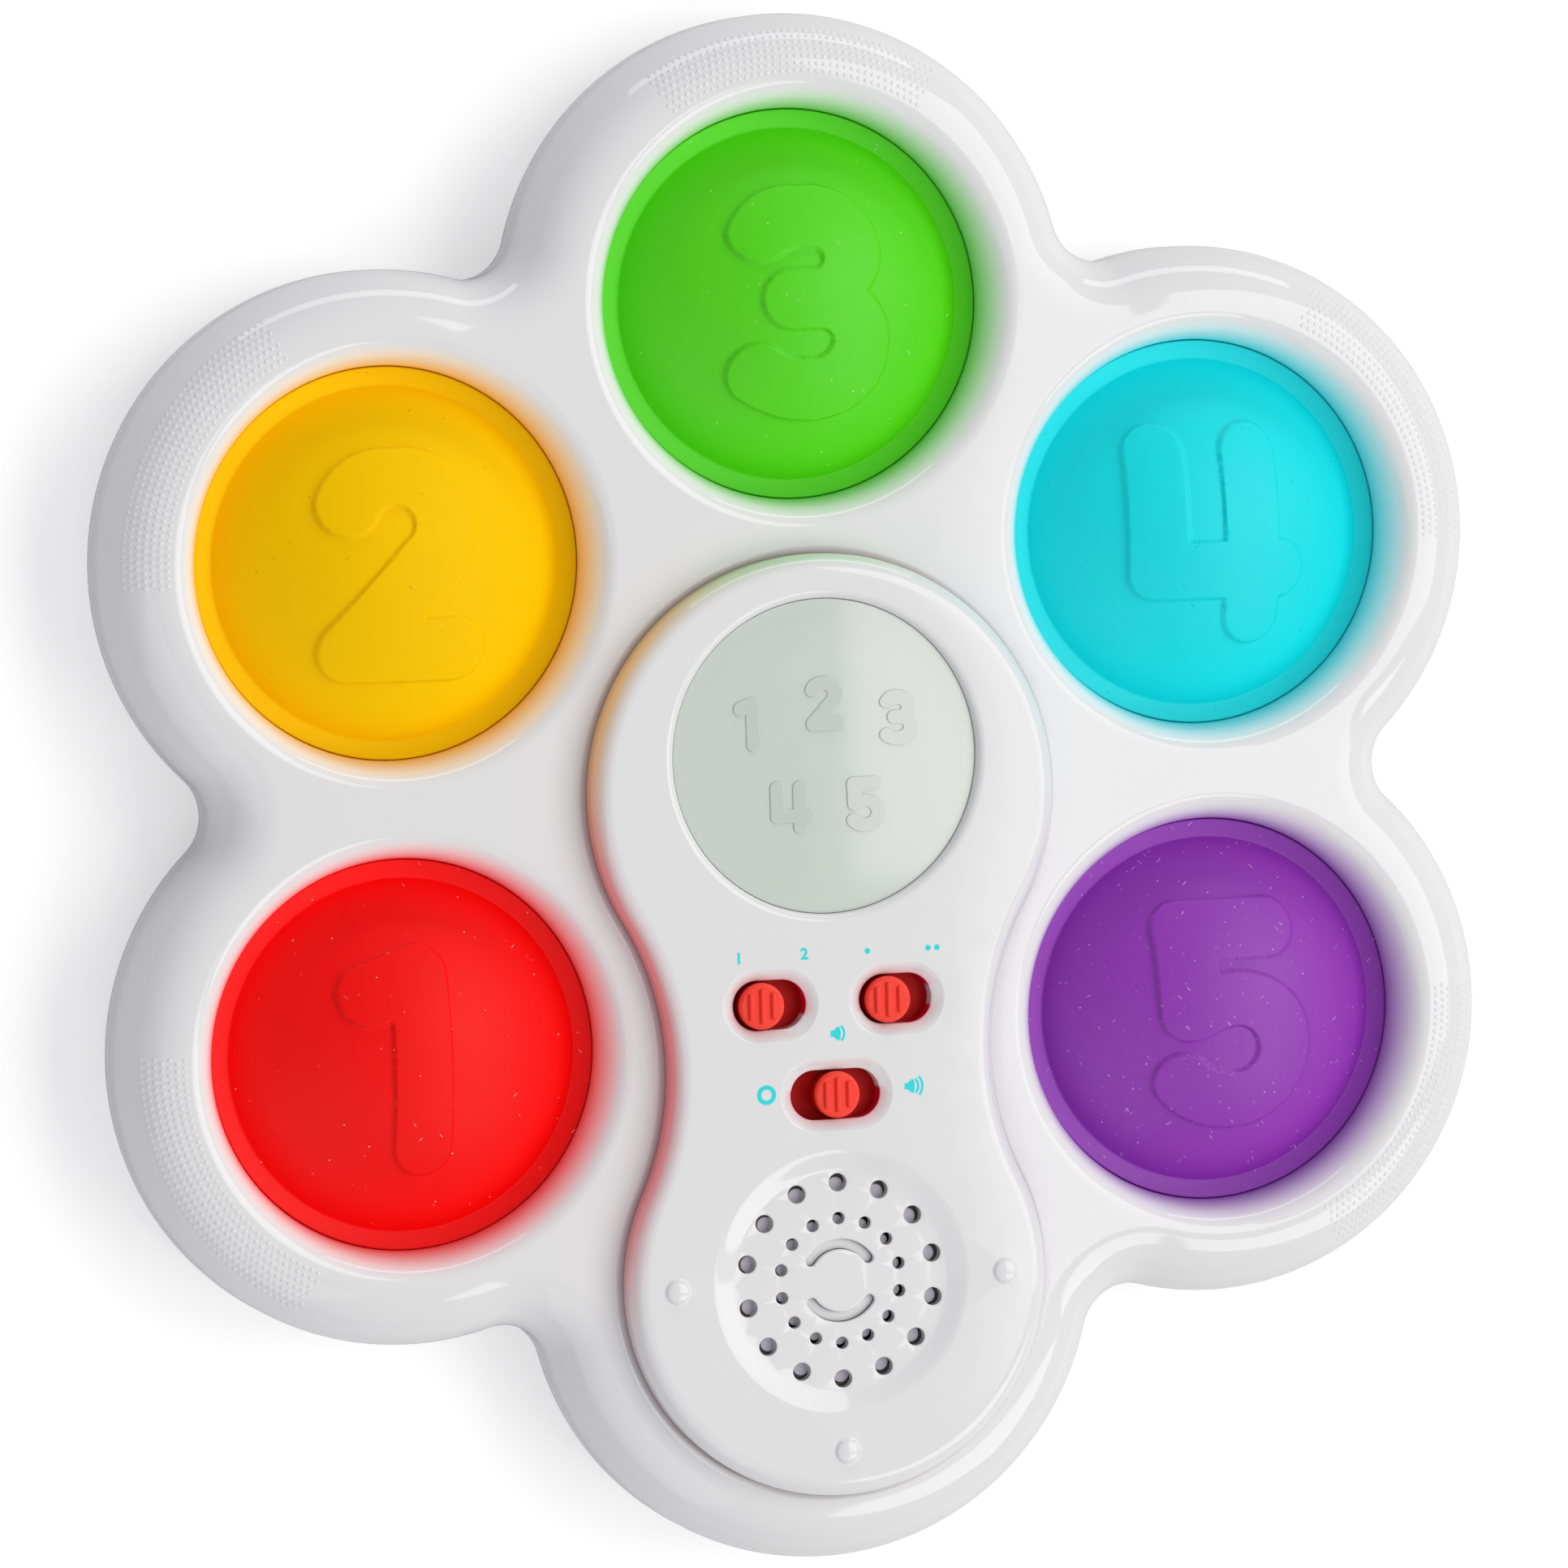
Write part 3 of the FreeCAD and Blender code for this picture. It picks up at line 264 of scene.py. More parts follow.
def beyond_console(spot):
    """How far a point lies outside the console's outline, negative inside it."""
    across = abs(spot.x)
    gap = min(math.hypot(spot.x, spot.y) - console_upper,
              math.hypot(spot.x, spot.y + hex_radius) - console_lower)
    if gap > 0 and across < waist_x and -0.8 * hex_radius < spot.y < -5:
        gap = min(gap, waist_radius - math.hypot(across - waist_x, spot.y - waist_y))
    return gap


bm = bmesh.new()
sweep_flower(bm, [(-0.3, shell_seam), (-0.1, shell_seam + 0.05), (0, shell_seam + 0.25),
                  (0, shell_top - shoulder_round)]
             + quarter(-shoulder_round, shell_top - shoulder_round, shoulder_round,
                       shoulder_round, 0, 90, 20)[1:])
for x, y in bubble_middles.values():
    ring(bm, x, y, quarter(lip_radius, shell_top - lip_down, lip_across, lip_down, 90, 180, 24))
sweep(bm, (0, 0), console_start,
      [(groove_edge + valley_width * (1 - i / valley_steps),
        shell_top - valley_fall * i / valley_steps) for i in range(valley_steps + 1)]
      + [(groove_edge, console_foot)], console_arcs)
merge(bm)
fill_level(bm, shell_top)
merge(bm)
top_shell = finish_piece("top_shell_skin", bm, "casing", painted_light_gloss,
                         wall=shell_wall)
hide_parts("top_shell")

# The lips take more of their bubble's colour the deeper they go, a painted reflection of the
# bubble, and painted shade darkens the valley round the console.
lip_white = 0.98
valley_shade = (0.34, 0.24, 0.25)
through = painted_light_layer(top_shell)
for vert in top_shell.data.vertices:
    spot = vert.co * 1000
    for number, (x, y) in bubble_middles.items():
        if math.hypot(spot.x - x, spot.y - y) < lip_radius - 0.01:
            deep = min(1.0, (shell_top - spot.z) / lip_down)
            tint = 0.9 * deep
            shade = [lip_white * (1 - tint) + channel * tint for channel in bubble_shades[number]]
            through[vert.index].color = (*shade, min(1.0, 5 * deep))
    # Painted shade in the valley round the console's foot.
    fall = (shell_top - spot.z) / valley_fall
    if fall > 0.02 and spot.z > console_foot - 0.1 and beyond_console(spot) < 1.5:
        through[vert.index].color = (*valley_shade, 0.8 * min(1.0, fall))


# Grip dots: seven rows of tiny round studs on the outer shoulder of each bubble lobe, moulded
# with the casing in one piece. Each row is set off by half a pitch from the last.
dot_radius = 0.42
dot_height = 0.11
dot_pitch = 1.27
first_row = 0.8
row_pitch = 1.3
half_band_turn = 32.8

bm = bmesh.new()
for number, turn in bubble_turns.items():
    x, y = bubble_middles[number]
    for row in range(7):
        lean = (first_row + row_pitch * row) / shoulder_round
        circle = lobe_radius - shoulder_round * (1 - math.sin(lean))
        level = shell_top - shoulder_round + shoulder_round * math.cos(lean)
        start = turn - half_band_turn + (row % 2) * math.degrees(dot_pitch / 2 / circle)
        steps = round(math.radians(2 * half_band_turn) * circle / dot_pitch)
        stand = (Matrix.Translation((x, y, level)) @ Matrix.Rotation(math.radians(start), 4, "Z")
                 @ Matrix.Translation((circle, 0, 0)) @ Matrix.Rotation(lean, 4, "Y")
                 @ Matrix.Diagonal((1, 1, dot_height / dot_radius, 1)))
        line = bmesh.new()
        bmesh.ops.create_uvsphere(line, u_segments=8, v_segments=6, radius=dot_radius,
                                  matrix=stand)
        geom = list(line.verts) + list(line.edges) + list(line.faces)
        bmesh.ops.spin(line, geom=geom, cent=(x, y, 0), axis=(0, 0, 1), dvec=(0, 0, 0),
                       angle=steps * dot_pitch / circle, steps=steps, use_duplicate=True)
        join(bm, line)
finish_piece("grip_dots", bm, "casing", white_gloss)


# Lower casing: a shallow tray of the same white plastic with rounded edges, seen from the side and
# from below, with the battery door's rebate and six deep holes for the casing screws.
base_level = 1.5
base_round = 10.0
screw_circle = 90.5
screw_hole_radius = 2.9
screw_hole_depth = 9.6
rebate_length = 55.5 + 0.6
rebate_width = 50.1 + 0.6
rebate_round = 3.3
rebate_level = 4.1
battery_y = -43.0

bm = bmesh.new()
sweep_flower(bm, [(-0.3, shell_seam - 0.02), (-0.1, shell_seam - 0.05), (0, shell_seam - 0.25)]
             + quarter(-base_round, base_level + base_round, base_round, base_round, 0, -90, 16))
for step in range(6):
    turn = math.radians(60 * step)
    ring(bm, screw_circle * math.cos(turn), screw_circle * math.sin(turn),
         [(screw_hole_radius + 0.3, base_level), (screw_hole_radius, base_level + 0.3),
          (screw_hole_radius, screw_hole_depth)], 40)
straight_x = rebate_length - 2 * rebate_round
straight_y = rebate_width - 2 * rebate_round
right = straight_x / 2
top = battery_y + straight_y / 2
bottom = battery_y - straight_y / 2
quarter_turn = math.pi / 2
sweep(bm, (right, bottom), (1, 0), [(rebate_round, base_level), (rebate_round, rebate_level)],
      [((0, 0), 0, (0, straight_y), 1), ((right, top), quarter_turn, (0, 0), 8),
       ((0, 0), 0, (-straight_x, 0), 1), ((-right, top), quarter_turn, (0, 0), 8),
       ((0, 0), 0, (0, -straight_y), 1), ((-right, bottom), quarter_turn, (0, 0), 8),
       ((0, 0), 0, (straight_x, 0), 1), ((right, bottom), quarter_turn, (0, 0), 8)])
merge(bm)
fill_level(bm, base_level)
merge(bm)
bottom_shell = finish_piece("bottom_shell_skin", bm, "casing", white_gloss,
                            wall=shell_wall)
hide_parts("bottom_shell")


# Thumb ridges: five rounded bars moulded on the right half of the battery door, the middle one
# the longest. They come off with the door, which two screws hold.
ridge_width = 1.1
ridge_height = 1.0
ridge_pitch = 2.2
first_ridge = 15.6

bm = bmesh.new()
for step, length in enumerate((10.0, 13.0, 15.0, 13.0, 10.0)):
    ridge = bmesh.ops.create_cube(bm, size=1.0)["verts"]
    bmesh.ops.scale(bm, vec=(ridge_width, length, ridge_height), verts=ridge)
    bmesh.ops.translate(bm, vec=(first_ridge + ridge_pitch * step, battery_y, base_level + 0.05),
                        verts=ridge)
    edges = {edge for vert in ridge for edge in vert.link_edges}
    bmesh.ops.bevel(bm, geom=list(edges), offset=0.4, segments=4, profile=0.5, affect="EDGES",
                    material=-1)
bmesh.ops.recalc_face_normals(bm, faces=bm.faces)
finish_piece("battery_door_ridges", bm, "battery_cover", white_gloss)


# Console cover: the same white moulding in one piece, standing on the casing, with the lens
# recess, three knob slots, the speaker grille and three small round pips.
console_top = 34.1
console_under = 31.9
console_round = 3.3
lens_middle = (0.0, 6.5)
lens_radius = 27.1
lens_rim_round = 1.5
slot_half_width = 4.3
slot_rim_across = 2.1
slot_rim_down = 1.2
slot_reach_spare = 0.5
slot_wall_foot = 30.3
slot_wall_thick = 1.2
slot_rim = [(0.0, 0.0), (0.15, 0.03), (0.3, 0.12), (1.0, 0.5), (1.7, 0.9), (1.95, 1.05)]
knob_slots = {"mode": (-11.3, -35.8, 1.7), "language": (11.3, -35.8, 1.7),
              "volume": (0.0, -51.7, 3.2)}
speaker_y = -hex_radius
dish_radius = 21.9
dish_floor = 32.8
dish_slope = [(1.1, 0.0), (0.7, 0.04), (0.2, 0.16), (-0.7, 0.5), (-1.6, 0.86), (-2.3, 1.11),
              (-2.7, 1.23)]
plate_under = 31.0
plate_radius = 20.0
grille_holes = ((17.0, 1.55), (10.8, 1.05))
grille_count = 14
hole_lip = 0.3
arc_radius = 6.3
arc_half = 0.9
arc_turn = math.radians(110)
pip_circle = 29.4


def grille_spot(circle, step):
    turn = math.radians(90 + 360 / grille_count * step)
    return circle * math.cos(turn), speaker_y + circle * math.sin(turn)


def arc_slot(bm, side, section):
    """Carries a section round one of the two arc slots, which have round ends."""
    middle = (0, speaker_y)
    start = side * math.pi / 2 - arc_turn / 2
    end = start + arc_turn
    first = (arc_radius * math.cos(start), speaker_y + arc_radius * math.sin(start))
    last = (arc_radius * math.cos(end), speaker_y + arc_radius * math.sin(end))
    sweep(bm, first, (math.cos(start), math.sin(start)), section,
          [(middle, arc_turn, (0, 0), 28), (last, math.pi, (0, 0), 12),
           (middle, -arc_turn, (0, 0), 28), (first, math.pi, (0, 0), 12)])


bm = bmesh.new()
wall_inside = console_upper - shell_wall
sweep(bm, (0, 0), console_start,
      quarter(console_upper - console_round, console_top - console_round, console_round,
              console_round, 90, 0, 12)
      + [(console_upper, console_foot), (wall_inside, console_foot),
         (wall_inside, console_under - 1.1), (wall_inside - 0.3, console_under - 0.3),
         (wall_inside - 1.1, console_under)], console_arcs)
ring(bm, *lens_middle, quarter(lens_radius + lens_rim_round, console_top - lens_rim_round,
                               lens_rim_round, lens_rim_round, 90, 180, 8)
     + [(lens_radius, console_under)], 160)
for x, y, reach in knob_slots.values():
    reach += slot_reach_spare
    outer = slot_half_width + slot_rim_across
    section = [(outer - inward, console_top - down) for inward, down in slot_rim]
    section += [(slot_half_width, console_top - slot_rim_down), (slot_half_width, 31.8),
                (slot_half_width, slot_wall_foot),
                (slot_half_width + slot_wall_thick, slot_wall_foot),
                (slot_half_width + slot_wall_thick, console_under)]
    sweep(bm, (x + reach, y), (0, -1), section,
          [((x + reach, y), math.pi, (0, 0), 24), ((0, 0), 0, (-2 * reach, 0), 1),
           ((x - reach, y), math.pi, (0, 0), 24), ((0, 0), 0, (2 * reach, 0), 1)])
ring(bm, 0, speaker_y, [(dish_radius + out, console_top - down) for out, down in dish_slope]
     + [(dish_radius - 3.0, dish_floor)])
ring(bm, 0, speaker_y, [(plate_radius, plate_under), (plate_radius, console_under)])
for step in range(grille_count):
    for circle, radius in grille_holes:
        ring(bm, *grille_spot(circle, step),
             [(radius + 0.25, dish_floor), (radius + 0.08, dish_floor - 0.08),
              (radius, dish_floor - 0.25), (radius, dish_floor - hole_lip),
              (radius, dish_floor - hole_lip - 0.04), (radius, plate_under)], 28)
for side in (1, -1):
    arc_slot(bm, side, [(arc_half + 0.3, dish_floor), (arc_half + 0.1, dish_floor - 0.1),
                        (arc_half, dish_floor - 0.3), (arc_half, dish_floor - 0.9),
                        (arc_half, dish_floor - 0.94), (arc_half, plate_under)])
for turn in (0, 180, 270):
    x = pip_circle * math.cos(math.radians(turn))
    y = speaker_y + pip_circle * math.sin(math.radians(turn))
    ring(bm, x, y, [(2.5, console_top), (2.25, console_top + 0.06)]
         + quarter(0, console_top + 0.1, 2.1, 0.7, 5, 90, 8), 40)
merge(bm)
for level in (console_top, dish_floor, console_under, plate_under):
    fill_level(bm, level)
merge(bm)
console = finish_piece("console_cover_skin", bm, "casing", painted_light_gloss)
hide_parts("console_cover")

# Painted light and shade: the walls of the slots get a painted red reflection of the knobs behind
# them, the holes of the grille are painted dark inside as shade, and the outer wall gets a painted
# reflection of the bubbles around it.
slot_painted_red = (0.78, 0.0, 0.05)
hole_painted_shade = (0.012, 0.012, 0.014)
wall_depth = 2.5
bubble_reflection_near = 42.8
bubble_reflection_reach = 13.0
through = painted_light_layer(console)
for vert in console.data.vertices:
    spot = vert.co * 1000
    # Painted red reflection on the slots' rims and walls.
    for x, y, reach in knob_slots.values():
        reach += slot_reach_spare
        out = math.hypot(spot.x - min(max(spot.x, x - reach), x + reach), spot.y - y)
        if out < slot_half_width + slot_rim_across - 0.4 and spot.z > 30:
            down = (console_top - spot.z) / slot_rim_down
            through[vert.index].color = (*slot_painted_red, 1.0 if down > 0.99 else 0.3 * down)
    # Painted shade: the walls of the grille holes are painted near black.
    in_plate = plate_under + 0.01 < spot.z < dish_floor - hole_lip - 0.01
    if in_plate and math.hypot(spot.x, spot.y - speaker_y) < plate_radius - 1:
        through[vert.index].color = (*hole_painted_shade, 1.0)
    # Painted reflection of the bubbles on the console's outer wall, stronger towards the left.
    low = min(1.0, (console_top - spot.z) / wall_depth)
    if beyond_console(spot) > -console_round and low > 0.02:
        shares = {number: math.exp(-((math.hypot(spot.x - x, spot.y - y) - bubble_reflection_near)
                                     / bubble_reflection_reach) ** 2)
                  for number, (x, y) in bubble_middles.items()}
        whole = sum(shares.values()) + 1e-6
        shade = [sum(share * bubble_shades[number][i] for number, share in shares.items()) / whole
                 for i in range(3)]
        strength = 0.25 + 0.45 * min(1.0, max(0.0, (12 - spot.x) / 40))
        through[vert.index].color = (*shade, strength * low * min(1.0, whole))


# Grille posts: pegs that stand for what shows through the grille; their lavender grey is painted
# shade of the white plastic behind the holes. They sit at the foot of the holes and a little
# nearer the middle, so that each hole shows a peg and a dark crescent of painted shade. A pale
# curved bar closes the foot of each arc slot.
grille_pegs = ((16.35, 1.45), (10.3, 0.98))
post_top = plate_under + 0.2
post_foot = plate_under + 0.02
arc_floor = plate_under + 0.6
post_painted_shade = moulded("post_plastic_painted_shade", (0.50, 0.46, 0.54), 0.4, grain=120, relief=0.006)

bm = bmesh.new()
for step in range(grille_count):
    for circle, radius in grille_pegs:
        ring(bm, *grille_spot(circle, step),
             [(0, post_top), (radius - 0.1, post_top), (radius, post_top - 0.1),
              (radius, post_foot), (0, post_foot)], 28)
merge(bm)
finish_piece("grille_posts", bm, "casing", post_painted_shade)

bm = bmesh.new()
for side in (1, -1):
    arc_slot(bm, side, [(arc_half - 0.12, arc_floor), (arc_half - 0.06, arc_floor - 0.06),
                        (arc_half - 0.06, post_foot)])
merge(bm)
fill_level(bm, arc_floor)
fill_level(bm, post_foot)
merge(bm)
finish_piece("grille_arc_floors", bm, "casing", white_gloss)


# Numerals: each bubble carries one in low relief. A pair is the end of a straight edge, and two
# pairs are a point on an arc and its end, in millimetres from the middle of the bubble.
numerals = {
    1: [[(-4.2, -15.0)],
        [(0.8, -19.9), (5.8, -15.0)],
        [(5.8, 14.2)],
        [(4.2, 18.0), (0.0, 19.5)],
        [(-10.2, 15.8)],
        [(-13.2, 11.0), (-8.2, 6.0)],
        [(-6.1, 6.2), (-4.2, 6.8)]],
    2: [[(-14.1, 10.8)],
        [(-10.2, 16.6), (-0.5, 19.5)],
        [(10.2, 16.2), (14.2, 8.0)],
        [(13.3, 3.4), (10.9, -0.4)],
        [(3.4, -9.2)],
        [(9.4, -9.2)],
        [(14.7, -14.5), (9.4, -19.8)],
        [(-9.2, -19.7)],
        [(-14.1, -15.2), (-12.3, -10.1)],
        [(0.9, 4.1)],
        [(2.4, 7.3), (-0.6, 10.0)],
        [(-2.4, 9.5), (-3.6, 8.2)],
        [(-5.4, 6.0), (-8.2, 4.9)],
        [(-12.3, 6.2), (-14.1, 10.8)]],
    3: [[(-13.2, 12.0)],
        [(-9.4, 17.5), (0.0, 20.0)],
        [(9.6, 17.2), (13.9, 9.0)],
        [(13.1, 5.0), (10.8, 1.8)],
        [(14.1, -2.3), (14.9, -7.6)],
        [(13.2, -13.7), (8.5, -18.0)],
        [(4.3, -19.5), (0.0, -19.9)],
        [(-5.5, -19.0), (-10.5, -16.7)],
        [(-13.0, -14.5), (-13.9, -11.5)],
        [(-12.2, -8.1), (-7.8, -6.6)],
        [(-6.2, -7.0), (-4.9, -7.9)],
        [(-2.9, -9.0), (-0.5, -9.2)],
        [(3.3, -8.3), (4.4, -6.4)],
        [(3.6, -4.9), (1.5, -4.4)],
        [(-2.6, -4.4)],
        [(-7.8, 0.8), (-2.6, 5.9)],
        [(1.2, 5.9)],
        [(3.0, 7.6), (1.2, 9.3)],
        [(-0.5, 9.5)],
        [(-2.5, 9.1), (-4.3, 8.2)],
        [(-6.2, 7.4), (-8.3, 7.2)],
        [(-12.0, 9.1), (-13.2, 12.0)]],
    4: [[(-15.2, 14.0)],
        [(-10.0, 19.1), (-4.8, 14.0)],
        [(-4.8, -1.5)],
        [(1.6, -1.5)],
        [(1.6, 14.0)],
        [(6.8, 19.0), (12.0, 14.0)],
        [(12.0, -1.5)],
        [(16.8, -6.5), (12.0, -11.5)],
        [(12.0, -14.3)],
        [(6.8, -19.4), (1.6, -14.3)],
        [(1.6, -11.4)],
        [(-10.4, -11.4)],
        [(-13.8, -10.0), (-15.2, -6.6)]],
    5: [[(-12.6, 14.8)],
        [(-11.2, 18.2), (-7.6, 19.7)],
        [(8.4, 19.7)],
        [(13.4, 14.5), (8.4, 9.4)],
        [(-1.5, 9.4)],
        [(-1.5, 7.0)],
        [(7.6, 6.1), (13.0, 2.0)],
        [(15.7, -6.0), (13.2, -14.0)],
        [(7.8, -18.7), (1.0, -20.2)],
        [(-6.3, -18.7), (-12.2, -14.2)],
        [(-12.7, -9.4), (-8.5, -6.6)],
        [(-6.0, -7.1), (-4.1, -8.4)],
        [(-1.8, -9.8), (1.0, -10.1)],
        [(5.4, -6.1), (1.4, -2.1)],
        [(-0.8, -2.5), (-3.0, -3.5)],
        [(-5.0, -4.3), (-7.2, -4.5)],
        [(-11.2, -2.4), (-12.1, 0.6)]],
}


def arc_points(start, through, end, steps):
    """Points after start on the arc from start to end that passes through the middle point."""
    (ax, ay), (bx, by), (cx, cy) = start, through, end
    double = 2 * (ax * (by - cy) + bx * (cy - ay) + cx * (ay - by))
    aa, bb, cc = ax * ax + ay * ay, bx * bx + by * by, cx * cx + cy * cy
    mx = (aa * (by - cy) + bb * (cy - ay) + cc * (ay - by)) / double
    my = (aa * (cx - bx) + bb * (ax - cx) + cc * (bx - ax)) / double
    first = math.atan2(ay - my, ax - mx)
    full = 2 * math.pi
    to_middle = (math.atan2(by - my, bx - mx) - first) % full
    to_end = (math.atan2(cy - my, cx - mx) - first) % full
    if to_middle > to_end:
        to_end -= full
    radius = math.hypot(ax - mx, ay - my)
    return [(mx + radius * math.cos(first + to_end * i / steps),
             my + radius * math.sin(first + to_end * i / steps)) for i in range(1, steps + 1)]


def numeral_outline(number):
    """The closed outline of a numeral, each arc as 16 short edges."""
    points = [numerals[number][0][0]]
    for stretch in numerals[number][1:]:
        if len(stretch) == 2:
            points += arc_points(points[-1], stretch[0], stretch[1], 16)
        else:
            points.append(stretch[0])
    if math.dist(points[0], points[-1]) < 1e-6:
        points.pop()
    return np.array(points)


def inside_distance(points, outline):
    """How far each point lies inside the outline (negative outside), and the way further in."""
    start = outline
    run = np.roll(outline, -1, axis=0) - start
    offset = points[:, None, :] - start[None]
    share = np.clip((offset * run).sum(2) / (run * run).sum(1), 0, 1)
    gap = offset - share[..., None] * run
    size = np.hypot(gap[..., 0], gap[..., 1])
    nearest = size.argmin(1)
    rows = np.arange(len(points))
    distance = size[rows, nearest]
    ends = start + run
    crosses = (start[:, 1] > points[:, None, 1]) != (ends[:, 1] > points[:, None, 1])
    slope = run[:, 0] / np.where(run[:, 1] == 0, 1e-12, run[:, 1])
    at_x = start[:, 0] + (points[:, None, 1] - start[:, 1]) * slope
    within = ((crosses & (points[:, None, 0] < at_x)).sum(1) % 2) == 1
    sign = np.where(within, 1.0, -1.0)
    inward = gap[rows, nearest] / np.maximum(distance, 1e-9)[:, None] * sign[:, None]
    return distance * sign, inward


# Silicone bubbles: each is one soft moulding, a dome with a raised numeral and a flat flange that
# is clamped under the lip. The dome folds downwards when pressed and springs back.
flange_top = 18.3
flange_under = 16.7
flange_radius = 37.5
dome_rise = 12.8
dome_foot = 30.3
dome_wall = 1.8
numeral_height = 0.7
numeral_slope = 0.45
numeral_reach = 25.0
edge_snap = 0.17
fold_round = 0.5
collar_slope = 18.0
collar_radius = 33.5
dome_rows = 104
under_rows = 12
dome_sphere = (dome_foot ** 2 + dome_rise ** 2) / (2 * dome_rise)
dome_middle = flange_top + dome_rise - dome_sphere
# Name, colour, gloss, share of dust and the dust's colour.
silicones = {
    1: ("red", (1.0, 0.0, 0.0), 0.22, 0.06, (0.95, 0.60, 0.60)),
    2: ("yellow", (1.0, 0.59, 0.0), 0.05, 0.04, (0.45, 0.22, 0.02)),
    3: ("green", (0.09, 0.70, 0.0), 0.4, 0.06, (0.65, 0.90, 0.60)),
    4: ("cyan", (0.0, 0.76, 0.81), 0.3, 0.06, (0.02, 0.25, 0.30)),
    5: ("purple", (0.29, 0.03, 0.46), 0.5, 0.3, (0.75, 0.62, 0.80)),
}


def bubble_section():
    """From the crown over the dome, fold, collar and flange, and back under to the crown."""
    fold_rise = flange_top + fold_round - dome_middle
    fold_out = math.sqrt((dome_sphere + fold_round) ** 2 - fold_rise ** 2)
    touch = math.atan2(fold_out, fold_rise)
    points = []
    for i in range(dome_rows + 1):
        lean = touch * i / dome_rows
        points.append((dome_sphere * math.sin(lean), dome_middle + dome_sphere * math.cos(lean)))
    points += quarter(fold_out, flange_top + fold_round, fold_round, fold_round,
                      270 - math.degrees(touch), 270 + collar_slope, 8)[1:]
    out, level = points[-1]
    crest_out = collar_radius - 0.35
    crest = level + (crest_out - out) * math.tan(math.radians(collar_slope))
    points += [(crest_out, crest), (crest_out + 0.15, crest + 0.04),
               (crest_out + 0.27, crest - 0.02), (collar_radius, crest - 0.2),
               (collar_radius + 0.02, flange_top + 0.1), (collar_radius + 0.2, flange_top),
               (flange_radius, flange_top), (flange_radius, flange_under),
               (collar_radius - 0.5, flange_under)]
    under = dome_sphere - dome_wall
    foot_lean = math.acos((flange_under - dome_middle) / under)
    for i in range(under_rows, -1, -1):
        lean = foot_lean * i / under_rows
        points.append((under * math.sin(lean), dome_middle + under * math.cos(lean)))
    return points


def dusty(surface, amount, lint):
    """Silicone holds dust: fine round specks of many sizes, and here and there a short fibre.

    Each layer has a spacing, a thinness, a turn, a reach in its cell and a share of the cells.
    """
    nodes = surface.node_tree.nodes
    link = surface.node_tree.links.new
    shader = nodes["Principled BSDF"]
    place = nodes["Texture Coordinate"]
    under = shader.inputs["Base Color"].links[0].from_socket
    for spacing, thin, turn, reach, share in ((480, 1.0, 0.0, 0.065, amount),
                                              (230, 10.0, 0.7, 0.13, 0.15 * amount),
                                              (210, 9.0, 2.3, 0.12, 0.15 * amount)):
        lay = nodes.new("ShaderNodeMapping")
        lay.vector_type = "TEXTURE"
        lay.inputs["Rotation"].default_value = (0, 0, turn)
        lay.inputs["Scale"].default_value = (1, 1 / thin, 1)
        link(place.outputs["Object"], lay.inputs["Vector"])
        cells = nodes.new("ShaderNodeTexVoronoi")
        cells.voronoi_dimensions = "2D"
        cells.inputs["Scale"].default_value = spacing
        link(lay.outputs["Vector"], cells.inputs["Vector"])
        lot = nodes.new("ShaderNodeSeparateColor")
        link(cells.outputs["Color"], lot.inputs["Color"])
        few = nodes.new("ShaderNodeMath")
        few.operation = "LESS_THAN"
        few.inputs[1].default_value = share
        link(lot.outputs["Red"], few.inputs[0])
        width = nodes.new("ShaderNodeMapRange")
        width.inputs["To Min"].default_value = 0.3 * reach
        width.inputs["To Max"].default_value = reach
        link(lot.outputs["Green"], width.inputs["Value"])
        within = nodes.new("ShaderNodeMath")
        within.operation = "LESS_THAN"
        link(cells.outputs["Distance"], within.inputs[0])
        link(width.outputs["Result"], within.inputs[1])
        both = nodes.new("ShaderNodeMath")
        both.operation = "MULTIPLY"
        link(few.outputs[0], both.inputs[0])
        link(within.outputs[0], both.inputs[1])
        faint = nodes.new("ShaderNodeMath")
        faint.operation = "MULTIPLY"
        link(both.outputs[0], faint.inputs[0])
        link(lot.outputs["Blue"], faint.inputs[1])
        cover = nodes.new("ShaderNodeMix")
        cover.data_type = "RGBA"
        cover.inputs["B"].default_value = (*lint, 1)
        link(faint.outputs[0], cover.inputs["Factor"])
        link(under, cover.inputs["A"])
        under = cover.outputs["Result"]
    link(under, shader.inputs["Base Color"])


